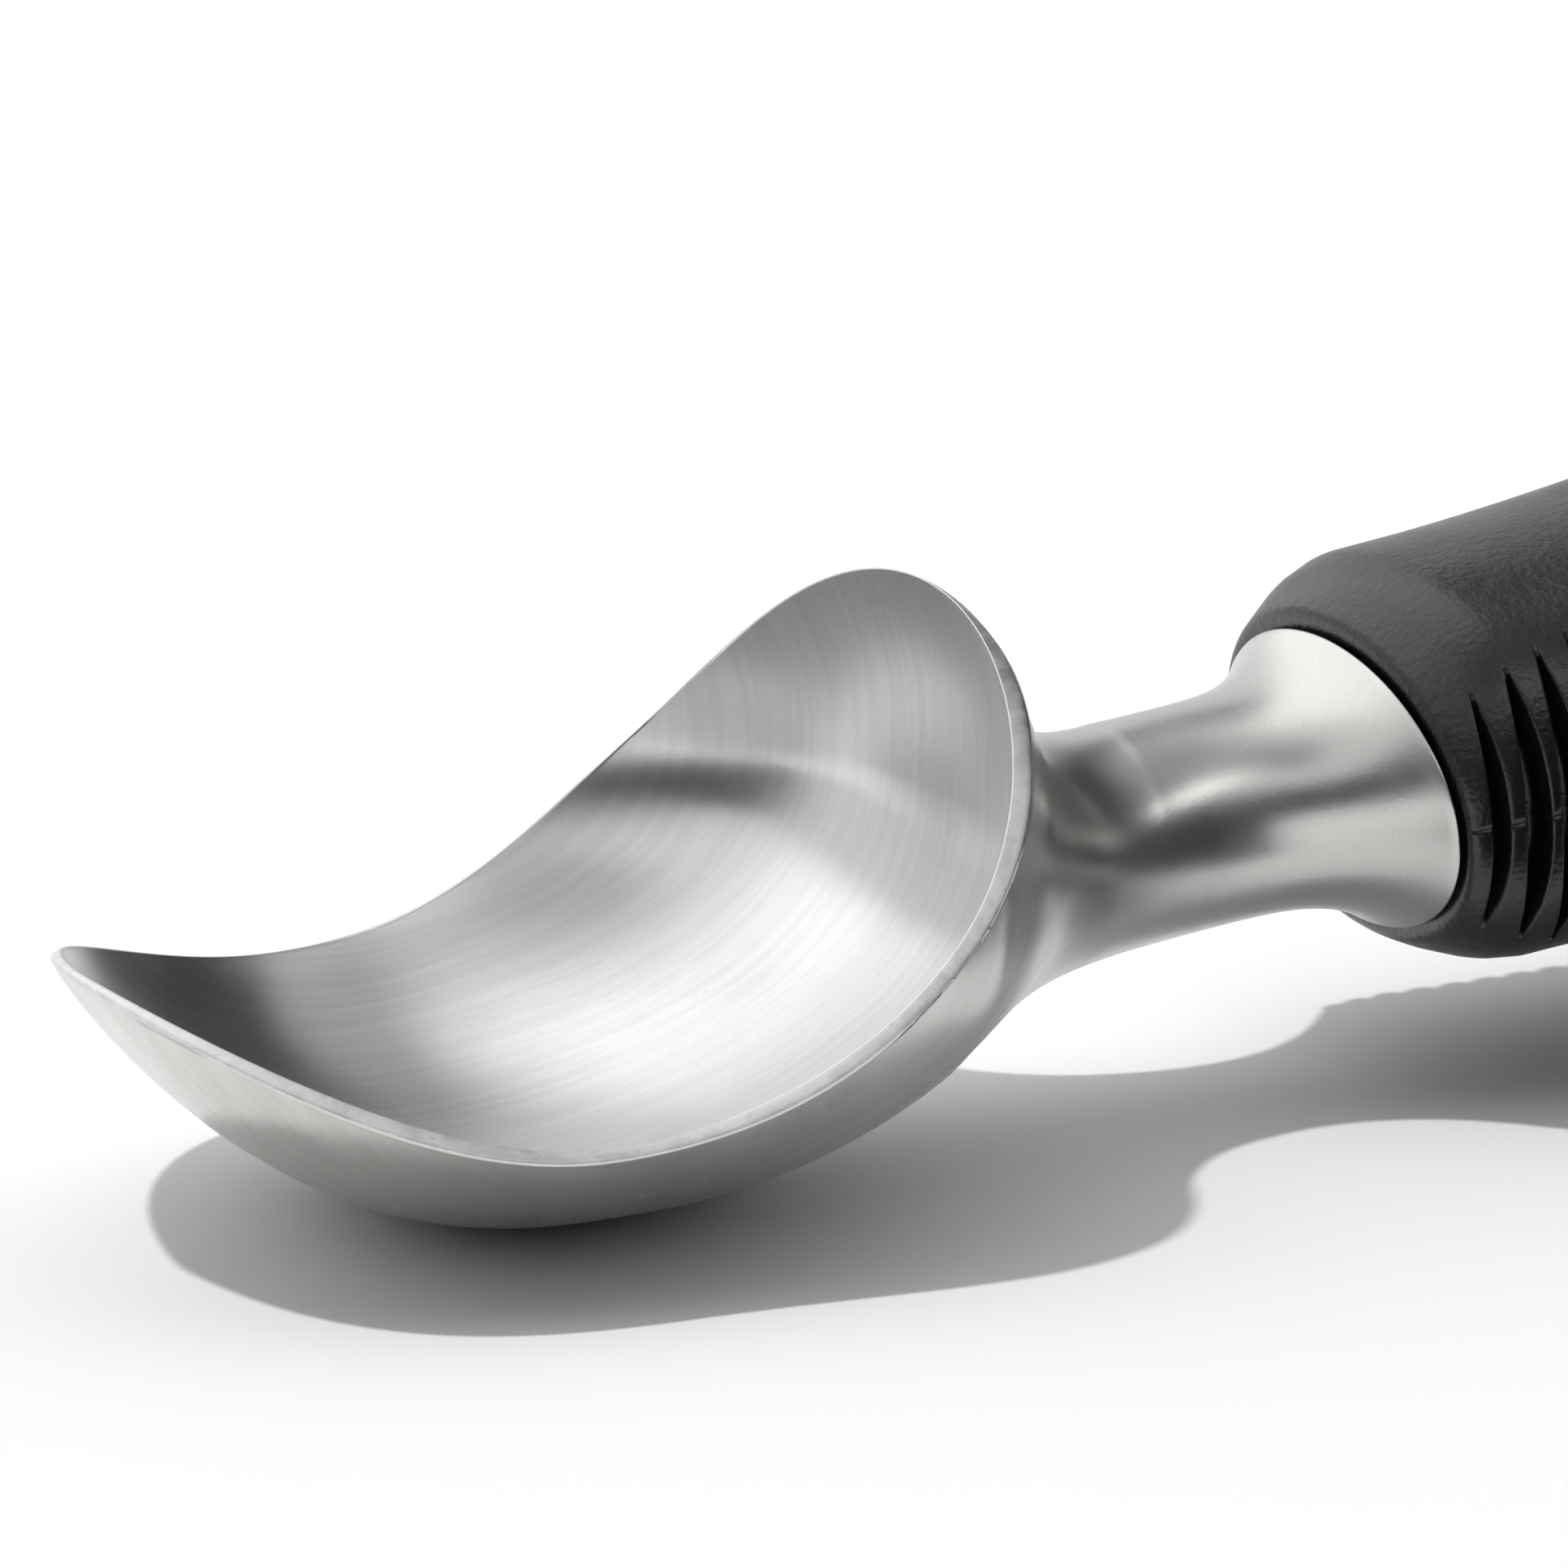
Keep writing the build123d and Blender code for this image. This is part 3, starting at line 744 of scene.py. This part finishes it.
def finned_grip(materials):
    """Soft grip with its mouth, fins, hollow for the core and lined hanging hole."""
    rows, hidden = grip_rows()
    turns = [2 * math.pi * column / GRIP_COLUMNS for column in range(GRIP_COLUMNS + 1)]
    for line in (0, math.pi, 2 * math.pi):
        turns += [line + beside for beside in (-PARTING_HALF_TURN, PARTING_HALF_TURN)]
    turns = sorted(turns)[1:-1]

    def place(row, column):
        turn = turns[column]
        x, across, z = rows[row](turn % (2 * math.pi))
        if row >= hidden and abs(math.sin(turn)) < PARTING_HALF_TURN / 2:
            across *= 1 - PARTING_DEPTH / FRONT_HALF_WIDTH
        return x, across, z

    bm = bmesh.new()
    sheet(bm, len(rows) - 1, len(turns) - 1, place)
    bmesh.ops.remove_doubles(bm, verts=bm.verts, dist=WELD)
    bmesh.ops.recalc_face_normals(bm, faces=bm.faces)
    grip = add_piece(bm, "finned_grip", materials)
    joined(grip, hole_bar("hole_lining", HANG_HOLE_RADIUS + HANG_HOLE_LINING - BOND_LINE, False), "UNION")
    joined(grip, hole_bar("hang_hole", HANG_HOLE_RADIUS, True), "DIFFERENCE")
    grip.data.shade_smooth()
    return grip


# Looks of each surface: tones from dark to light, roughness from smooth to rough, bump in metres
SATIN_TONES = (0.67, 0.662, 0.645), (0.72, 0.712, 0.695)
SATIN_ROUGHNESS = 0.27, 0.34
SATIN_HAIR = 700.0, 5200.0, 900.0
SATIN_HAIR_SHARE = 0.1
BLAST_ROUGHNESS = 0.31, 0.36
BLAST_GRAIN = 5200.0
SATIN_PATCH = 130.0
SATIN_BUMP = 0.000005
BRUSHED_TONES = (0.76, 0.757, 0.75), (0.82, 0.817, 0.81)
BRUSHED_ROUGHNESS = 0.28, 0.32
BRUSHED_LINES = 260.0, 11000.0, 260.0
BRUSHED_PULL = 0.35, 1.0, 0.35
BRUSHED_PITS = 9000.0
BRUSHED_PATCH = 110.0
BRUSHED_ONE_WAY = 0.76
BRUSHED_BUMP = 0.000003
LAND_TONES = (0.76, 0.755, 0.745), (0.9, 0.895, 0.885)
LAND_ROUGHNESS = 0.52, 0.62
LAND_GRAIN = 4200.0
LAND_LINES = 3000.0, 5200.0, 3000.0
LAND_BUMP = 0.000004
RUBBER_TONES = (0.004, 0.004, 0.0042), (0.009, 0.009, 0.0093)
RUBBER_ROUGHNESS = 0.3, 0.37
RUBBER_SHINE = 0.75
RUBBER_PEBBLE = 2600.0
RUBBER_PATCH = 70.0
RUBBER_BUMP = 0.00005
CORE_TONES = (0.05, 0.05, 0.05), (0.07, 0.07, 0.07)
CORE_ROUGHNESS = 0.42, 0.52
CORE_GRAIN = 3400.0
CORE_PATCH = 60.0
CORE_BUMP = 0.000012


def new_material(name):
    """Node material with one Principled BSDF. Returns the material, its node tree and the shader."""
    material = bpy.data.materials.new(name)
    material.use_nodes = True
    tree = material.node_tree
    tree.nodes.clear()
    output = tree.nodes.new("ShaderNodeOutputMaterial")
    shader = tree.nodes.new("ShaderNodeBsdfPrincipled")
    tree.links.new(shader.outputs[0], output.inputs[0])
    return material, tree, shader


def feed(tree, value, socket):
    """Links a node's output to a socket, or sets a plain value on it."""
    if isinstance(value, bpy.types.NodeSocket):
        tree.links.new(value, socket)
    else:
        socket.default_value = value


def sum_of(tree, operation, first, second):
    """Output of a Math node on two values."""
    node = tree.nodes.new("ShaderNodeMath")
    node.operation = operation
    feed(tree, first, node.inputs[0])
    feed(tree, second, node.inputs[1])
    return node.outputs[0]


def vector_of(tree, operation, first, second, output=0):
    """Output of a Vector Math node on two vectors."""
    node = tree.nodes.new("ShaderNodeVectorMath")
    node.operation = operation
    feed(tree, first, node.inputs[0])
    feed(tree, second, node.inputs[1])
    return node.outputs[output]


def between(tree, value, low, high, start=0.0, end=1.0):
    """Value brought from low to high onto start to end, with soft ends."""
    node = tree.nodes.new("ShaderNodeMapRange")
    node.interpolation_type = "SMOOTHSTEP"
    feed(tree, value, node.inputs["Value"])
    for name, number in (("From Min", low), ("From Max", high), ("To Min", start), ("To Max", end)):
        node.inputs[name].default_value = number
    return node.outputs["Result"]


def blend_of(tree, share, first, second):
    """Two values mixed by a share."""
    node = tree.nodes.new("ShaderNodeMix")
    feed(tree, share, node.inputs["Factor"])
    feed(tree, first, node.inputs["A"])
    feed(tree, second, node.inputs["B"])
    return node.outputs["Result"]


def tint_of(tree, share, first, second):
    """Two colours mixed by a share."""
    node = tree.nodes.new("ShaderNodeMix")
    node.data_type = "RGBA"
    feed(tree, share, node.inputs[0])
    feed(tree, (*first, 1.0), node.inputs[6])
    feed(tree, (*second, 1.0), node.inputs[7])
    return node.outputs[2]


def noise_of(tree, vector, scale, detail, roughness):
    """Value of a noise texture on a vector."""
    node = tree.nodes.new("ShaderNodeTexNoise")
    feed(tree, vector, node.inputs["Vector"])
    feed(tree, scale, node.inputs["Scale"])
    node.inputs["Detail"].default_value = detail
    node.inputs["Roughness"].default_value = roughness
    return node.outputs["Fac"]


def object_place(tree):
    """Object coordinates in a material."""
    return tree.nodes.new("ShaderNodeTexCoord").outputs["Object"]


def effect(name, takes, gives):
    """New node group with named inputs and outputs. Returns its tree and its two end nodes."""
    tree = bpy.data.node_groups.new(name, "ShaderNodeTree")
    for socket, kind in takes:
        tree.interface.new_socket(socket, in_out="INPUT", socket_type=kind)
    for socket in gives:
        tree.interface.new_socket(socket, in_out="OUTPUT", socket_type="NodeSocketFloat")
    return tree, tree.nodes.new("NodeGroupInput"), tree.nodes.new("NodeGroupOutput")


def place_effect(tree, group, values):
    """Places a node group in a material with its own values. Returns its outputs."""
    node = tree.nodes.new("ShaderNodeGroup")
    node.node_tree = group
    for name, value in values.items():
        feed(tree, value, node.inputs[name])
    return node.outputs


def make_hair_lines():
    """Fine lines drawn out along one direction: their height, and broader streaks of tone."""
    tree, start, end = effect(
        "hair_lines",
        (("Place", "NodeSocketVector"), ("Stretch", "NodeSocketVector"), ("Waver", "NodeSocketFloat")),
        ("Height", "Streak"))
    drift = noise_of(tree, start.outputs["Place"], 90.0, 2.0, 0.5)
    shift = sum_of(tree, "MULTIPLY", drift, start.outputs["Waver"])
    moved = vector_of(tree, "ADD", start.outputs["Place"], shift)
    drawn = vector_of(tree, "MULTIPLY", moved, start.outputs["Stretch"])
    fine = noise_of(tree, drawn, 1.0, 3.0, 0.65)
    broad = noise_of(tree, drawn, 0.21, 2.0, 0.55)
    feed(tree, sum_of(tree, "ADD", fine, sum_of(tree, "MULTIPLY", broad, 1.2)), end.inputs["Height"])
    feed(tree, between(tree, broad, 0.32, 0.68), end.inputs["Streak"])
    return tree


def make_fine_grain():
    """Even grain: its height, and the sparse specks that stand out of it."""
    tree, start, end = effect(
        "fine_grain",
        (("Place", "NodeSocketVector"), ("Scale", "NodeSocketFloat")),
        ("Height", "Speck"))
    grain = noise_of(tree, start.outputs["Place"], start.outputs["Scale"], 2.0, 0.55)
    coarser = sum_of(tree, "MULTIPLY", start.outputs["Scale"], 0.43)
    speck = noise_of(tree, start.outputs["Place"], coarser, 1.0, 0.5)
    feed(tree, sum_of(tree, "ADD", grain, speck), end.inputs["Height"])
    feed(tree, between(tree, speck, 0.66, 0.76), end.inputs["Speck"])
    return tree


def make_smudges():
    """Slow uneven patches, as handling and polishing leave them."""
    tree, start, end = effect(
        "smudges",
        (("Place", "NodeSocketVector"), ("Scale", "NodeSocketFloat")),
        ("Patch",))
    patch = noise_of(tree, start.outputs["Place"], start.outputs["Scale"], 4.0, 0.6)
    feed(tree, between(tree, patch, 0.3, 0.7), end.inputs["Patch"])
    return tree


def bumped(tree, shader, height, distance):
    """Gives the shader a bumped normal from a height."""
    node = tree.nodes.new("ShaderNodeBump")
    node.inputs["Strength"].default_value = 1.0
    node.inputs["Distance"].default_value = distance
    feed(tree, height, node.inputs["Height"])
    feed(tree, node.outputs["Normal"], shader.inputs["Normal"])


def satin_steel(effects):
    """Outside of the head: satin on the bowl, turning to a blasted grain on the neck and shoulder."""
    material, tree, shader = new_material("satin_steel")
    place = object_place(tree)
    split = tree.nodes.new("ShaderNodeSeparateXYZ")
    feed(tree, place, split.inputs[0])
    neck_from = (NECK_BLEND_START + tip_x) * MM
    neck_to = (NECK_START + tip_x) * MM
    neck = between(tree, split.outputs["X"], neck_from, neck_to)
    hair = place_effect(tree, effects["hair_lines"], {
        "Place": place, "Stretch": SATIN_HAIR, "Waver": 0.004})
    grain = place_effect(tree, effects["fine_grain"], {"Place": place, "Scale": BLAST_GRAIN})
    patch = place_effect(tree, effects["smudges"], {"Place": place, "Scale": SATIN_PATCH})["Patch"]
    tone = blend_of(tree, neck, hair["Streak"], grain["Speck"])
    feed(tree, tint_of(tree, tone, *SATIN_TONES), shader.inputs["Base Color"])
    satin = between(tree, patch, 0.0, 1.0, *SATIN_ROUGHNESS)
    blasted = between(tree, patch, 0.0, 1.0, *BLAST_ROUGHNESS)
    feed(tree, blend_of(tree, neck, satin, blasted), shader.inputs["Roughness"])
    shader.inputs["Metallic"].default_value = 1.0
    hair_height = sum_of(tree, "MULTIPLY", hair["Height"], SATIN_HAIR_SHARE)
    height = blend_of(tree, neck, hair_height, grain["Height"])
    bumped(tree, shader, height, SATIN_BUMP)
    return material


def brushed_steel(effects):
    """Inside of the bowl: brushed along its length, with a few tiny pits left between the lines."""
    material, tree, shader = new_material("brushed_steel")
    place = object_place(tree)
    lines = place_effect(tree, effects["hair_lines"], {
        "Place": place, "Stretch": BRUSHED_LINES, "Waver": 0.0012})
    drawn = vector_of(tree, "MULTIPLY", place, BRUSHED_PULL)
    pits = place_effect(tree, effects["fine_grain"], {"Place": drawn, "Scale": BRUSHED_PITS})["Speck"]
    patch = place_effect(tree, effects["smudges"], {"Place": place, "Scale": BRUSHED_PATCH})["Patch"]
    clean = sum_of(tree, "SUBTRACT", lines["Streak"], pits)
    feed(tree, tint_of(tree, clean, *BRUSHED_TONES), shader.inputs["Base Color"])
    feed(tree, between(tree, patch, 0.0, 1.0, *BRUSHED_ROUGHNESS), shader.inputs["Roughness"])
    shader.inputs["Metallic"].default_value = 1.0
    shader.inputs["Anisotropic"].default_value = BRUSHED_ONE_WAY
    across = tree.nodes.new("ShaderNodeTangent")
    across.direction_type = "UV_MAP"
    across.uv_map = "brushing"
    feed(tree, across.outputs[0], shader.inputs["Tangent"])
    bumped(tree, shader, lines["Height"], BRUSHED_BUMP)
    return material


def ground_rim(effects):
    """Flat land of the rim: ground, with a coarse bright grain."""
    material, tree, shader = new_material("ground_rim")
    place = object_place(tree)
    grain = place_effect(tree, effects["fine_grain"], {"Place": place, "Scale": LAND_GRAIN})
    lines = place_effect(tree, effects["hair_lines"], {
        "Place": place, "Stretch": LAND_LINES, "Waver": 0.003})
    tone = sum_of(tree, "SUBTRACT", lines["Streak"], grain["Speck"])
    feed(tree, tint_of(tree, tone, *LAND_TONES), shader.inputs["Base Color"])
    feed(tree, between(tree, lines["Streak"], 0.0, 1.0, *LAND_ROUGHNESS), shader.inputs["Roughness"])
    shader.inputs["Metallic"].default_value = 1.0
    bumped(tree, shader, sum_of(tree, "ADD", grain["Height"], lines["Height"]), LAND_BUMP)
    return material


def soft_rubber(effects):
    """Grip: black rubber with a fine pebble and a faint bloom."""
    material, tree, shader = new_material("soft_rubber")
    place = object_place(tree)
    pebble = place_effect(tree, effects["fine_grain"], {"Place": place, "Scale": RUBBER_PEBBLE})
    patch = place_effect(tree, effects["smudges"], {"Place": place, "Scale": RUBBER_PATCH})["Patch"]
    tone = sum_of(tree, "MULTIPLY", sum_of(tree, "ADD", pebble["Speck"], patch), 0.5)
    feed(tree, tint_of(tree, tone, *RUBBER_TONES), shader.inputs["Base Color"])
    feed(tree, between(tree, patch, 0.0, 1.0, *RUBBER_ROUGHNESS), shader.inputs["Roughness"])
    shader.inputs["Specular IOR Level"].default_value = RUBBER_SHINE
    bumped(tree, shader, pebble["Height"], RUBBER_BUMP)
    return material


def core_plastic(effects):
    """Moulded core of the handle: plain black plastic with faint flow patches."""
    material, tree, shader = new_material("core_plastic")
    place = object_place(tree)
    grain = place_effect(tree, effects["fine_grain"], {"Place": place, "Scale": CORE_GRAIN})
    patch = place_effect(tree, effects["smudges"], {"Place": place, "Scale": CORE_PATCH})["Patch"]
    feed(tree, tint_of(tree, patch, *CORE_TONES), shader.inputs["Base Color"])
    feed(tree, between(tree, patch, 0.0, 1.0, *CORE_ROUGHNESS), shader.inputs["Roughness"])
    bumped(tree, shader, grain["Height"], CORE_BUMP)
    return material


effects = {
    "hair_lines": make_hair_lines(),
    "fine_grain": make_fine_grain(),
    "smudges": make_smudges(),
}
head = scoop_head([satin_steel(effects), brushed_steel(effects), ground_rim(effects)])
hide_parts("scoop_casting")
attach(head, "root")
grip = finned_grip([soft_rubber(effects)])
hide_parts("soft_grip")
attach(grip, "root")
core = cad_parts["handle_core"]
core.data.materials.clear()
core.data.materials.append(core_plastic(effects))


def stage_sheet(name, corner, opposite, height, colour):
    """Flat painted sheet of the set, level with the table or just above it."""
    bm = bmesh.new()
    bmesh.ops.create_grid(bm, x_segments=1, y_segments=1, size=0.5)
    size = Vector(opposite) - Vector(corner)
    middle = Matrix.Translation((corner[0] + size.x / 2, corner[1] + size.y / 2, height))
    bmesh.ops.transform(bm, verts=bm.verts, matrix=middle @ Matrix.Diagonal((size.x, size.y, 1, 1)))
    mesh = bpy.data.meshes.new(name)
    bm.to_mesh(mesh)
    bm.free()
    paint, tree, shader = new_material(name + "_paint")
    shader.inputs["Base Color"].default_value = (colour, colour, colour, 1)
    shader.inputs["Roughness"].default_value = 0.8
    shader.inputs["Specular IOR Level"].default_value = 0.0
    mesh.materials.append(paint)
    made = bpy.data.objects.new(name, mesh)
    bpy.context.scene.collection.objects.link(made)
    return made


# White table, and a dark card in front that only shows in the steel
TABLE_HALF = 3.0
TABLE_SHADE = 0.9
CARD_FRONT = -0.031
CARD_LEFT = -0.02
CARD_HEIGHT = 0.0004
CARD_SHADE = 0.03
stage_sheet("table", (-TABLE_HALF, -TABLE_HALF), (TABLE_HALF, TABLE_HALF), 0.0, TABLE_SHADE)
card = stage_sheet("card", (CARD_LEFT, -TABLE_HALF), (TABLE_HALF, CARD_FRONT), CARD_HEIGHT, CARD_SHADE)
card.visible_camera = False
card.visible_diffuse = False
card.visible_transmission = False
card.visible_shadow = False

# Key light, which casts the shadow
LIGHT_RUN_X = 0.295
LIGHT_RUN_Y = -0.175
LIGHT_ENERGY = 1.6
LIGHT_ANGLE_DEG = 2.5
sun_data = bpy.data.lights.new("key", "SUN")
sun_data.energy = LIGHT_ENERGY
sun_data.angle = math.radians(LIGHT_ANGLE_DEG)
sun = bpy.data.objects.new("key", sun_data)
sun.rotation_euler = Vector((LIGHT_RUN_X, LIGHT_RUN_Y, -1)).to_track_quat("-Z", "Y").to_euler()
sun.visible_glossy = False
bpy.context.scene.collection.objects.link(sun)

# Studio: soft light from above and behind, and the panels and the dark front that the steel mirrors
ROOM_LIGHT = 1.0
WALL_LIGHT = 0.75
PANEL_LIGHT = 1.4
STRIP_LIGHT = 2.3
GAP_SHADE = 0.65
DARK_LIGHT = 0.03
FILL_LIGHT = 0.4
LEAST_LIGHT = 0.01
LEAST_RISE = 0.03

# Where each part of the studio begins and ends, by direction
PANEL_RIGHT = 0.26, 0.4
PANEL_LEFT = -2.2, -0.8
PANEL_FRONT = -0.2, 0.3
SHADE_FRONT = 0.35, 0.65
SHADE_TOP = 0.46, 0.58
WALL_RIGHT = 0.18, 0.4
WALL_BACK = 0.62, 0.8
GAP_EDGE = 0.94, 0.985
STRIP_FRONT = -1.3, -1.0
STRIP_BACK = -0.8, -0.6
STRIP_LEFT = 0.0, 0.22
STRIP_RIGHT = 0.6, 0.8
FILL_FOOT = 0.62, 0.8
FILL_LEFT = 0.25, 0.4
FILL_RIGHT = 0.55, 0.7
OPEN_EDGE = -0.15, 0.35
FRONT_SIDE = Vector((-0.457, -0.889, 0.0))
OPEN_SIDE = Vector((0.33, 0.85, 0.41))
GAP_SIDE = Vector((-0.06, -0.39, 0.92)).normalized()
world = bpy.data.worlds.new("studio")
bpy.context.scene.world = world
world.use_nodes = True
world.cycles.sampling_method = "NONE"
room = world.node_tree
side = room.nodes.new("ShaderNodeTexCoord").outputs["Generated"]
split = room.nodes.new("ShaderNodeSeparateXYZ")
feed(room, side, split.inputs[0])
rise = sum_of(room, "MAXIMUM", split.outputs["Z"], LEAST_RISE)
along_panel = sum_of(room, "DIVIDE", split.outputs["X"], rise)
across_panel = sum_of(room, "DIVIDE", split.outputs["Y"], rise)
panel = between(room, along_panel, *PANEL_RIGHT, 1.0, 0.0)
panel = sum_of(room, "MULTIPLY", panel, between(room, along_panel, *PANEL_LEFT))
panel = sum_of(room, "MULTIPLY", panel, between(room, across_panel, *PANEL_FRONT, 0.0, PANEL_LIGHT))
front = vector_of(room, "DOT_PRODUCT", side, FRONT_SIDE, "Value")
low = between(room, split.outputs["Z"], *SHADE_TOP, 1.0, 0.0)
shade = sum_of(room, "MULTIPLY", between(room, front, *SHADE_FRONT), low)
wall = between(room, split.outputs["X"], *WALL_RIGHT, WALL_LIGHT, 0.0)
wall = sum_of(room, "MAXIMUM", wall, between(room, split.outputs["Y"], *WALL_BACK, 0.0, WALL_LIGHT))
wall = sum_of(room, "MULTIPLY", wall, sum_of(room, "SUBTRACT", 1.0, shade))
near_gap = vector_of(room, "DOT_PRODUCT", side, GAP_SIDE, "Value")
gap = between(room, near_gap, *GAP_EDGE, 1.0, 1.0 - GAP_SHADE)
wall = sum_of(room, "ADD", sum_of(room, "MULTIPLY", wall, gap), DARK_LIGHT)
strip = between(room, across_panel, *STRIP_FRONT)
strip = sum_of(room, "MULTIPLY", strip, between(room, across_panel, *STRIP_BACK, 1.0, 0.0))
strip = sum_of(room, "MULTIPLY", strip, between(room, split.outputs["X"], *STRIP_LEFT))
strip_end = between(room, split.outputs["X"], *STRIP_RIGHT, STRIP_LIGHT, 0.0)
strip = sum_of(room, "MULTIPLY", strip, strip_end)
fill = between(room, split.outputs["Z"], *FILL_FOOT)
fill = sum_of(room, "MULTIPLY", fill, between(room, split.outputs["X"], *FILL_LEFT))
fill_end = between(room, split.outputs["X"], *FILL_RIGHT, FILL_LIGHT, 0.0)
fill = sum_of(room, "MULTIPLY", fill, fill_end)
wall = sum_of(room, "MAXIMUM", wall, fill)
mirrored = sum_of(room, "MAXIMUM", sum_of(room, "MAXIMUM", wall, panel), strip)
open_side = vector_of(room, "DOT_PRODUCT", side, OPEN_SIDE, "Value")
even = between(room, open_side, *OPEN_EDGE, LEAST_LIGHT, ROOM_LIGHT)
ray = room.nodes.new("ShaderNodeLightPath")
background = room.nodes["Background"]
background.inputs["Color"].default_value = (1, 1, 1, 1)
feed(room, blend_of(room, ray.outputs["Is Glossy Ray"], even, mirrored), background.inputs["Strength"])

# Camera, in millimetres from the tip
CAMERA_TURN_DEG = 27.2
CAMERA_TILT_DEG = 15.2
CAMERA_DISTANCE = 502.0
CAMERA_AIM = Vector((42.3, 0, 9.4))
CAMERA_RIGHT = 5.72
CAMERA_UP = 15.28
CAMERA_LENS = 182.72
CAMERA_SENSOR = 36.0
turn = math.radians(CAMERA_TURN_DEG)
tilt = math.radians(CAMERA_TILT_DEG)
ahead = Vector((math.sin(turn) * math.cos(tilt), math.cos(turn) * math.cos(tilt), -math.sin(tilt)))
right = Vector((math.cos(turn), -math.sin(turn), 0))
up = right.cross(ahead)
stand = to_frame @ (CAMERA_AIM - ahead * CAMERA_DISTANCE + right * CAMERA_RIGHT + up * CAMERA_UP)
camera_data = bpy.data.cameras.new("camera")
camera_data.lens = CAMERA_LENS
camera_data.sensor_width = CAMERA_SENSOR
camera = bpy.data.objects.new("camera", camera_data)
turned = Matrix((right, up, -ahead)).transposed().to_4x4()
camera.matrix_world = Matrix.Translation(stand) @ turned
bpy.context.scene.collection.objects.link(camera)
bpy.context.scene.camera = camera
bpy.context.scene.view_settings.view_transform = "Standard"
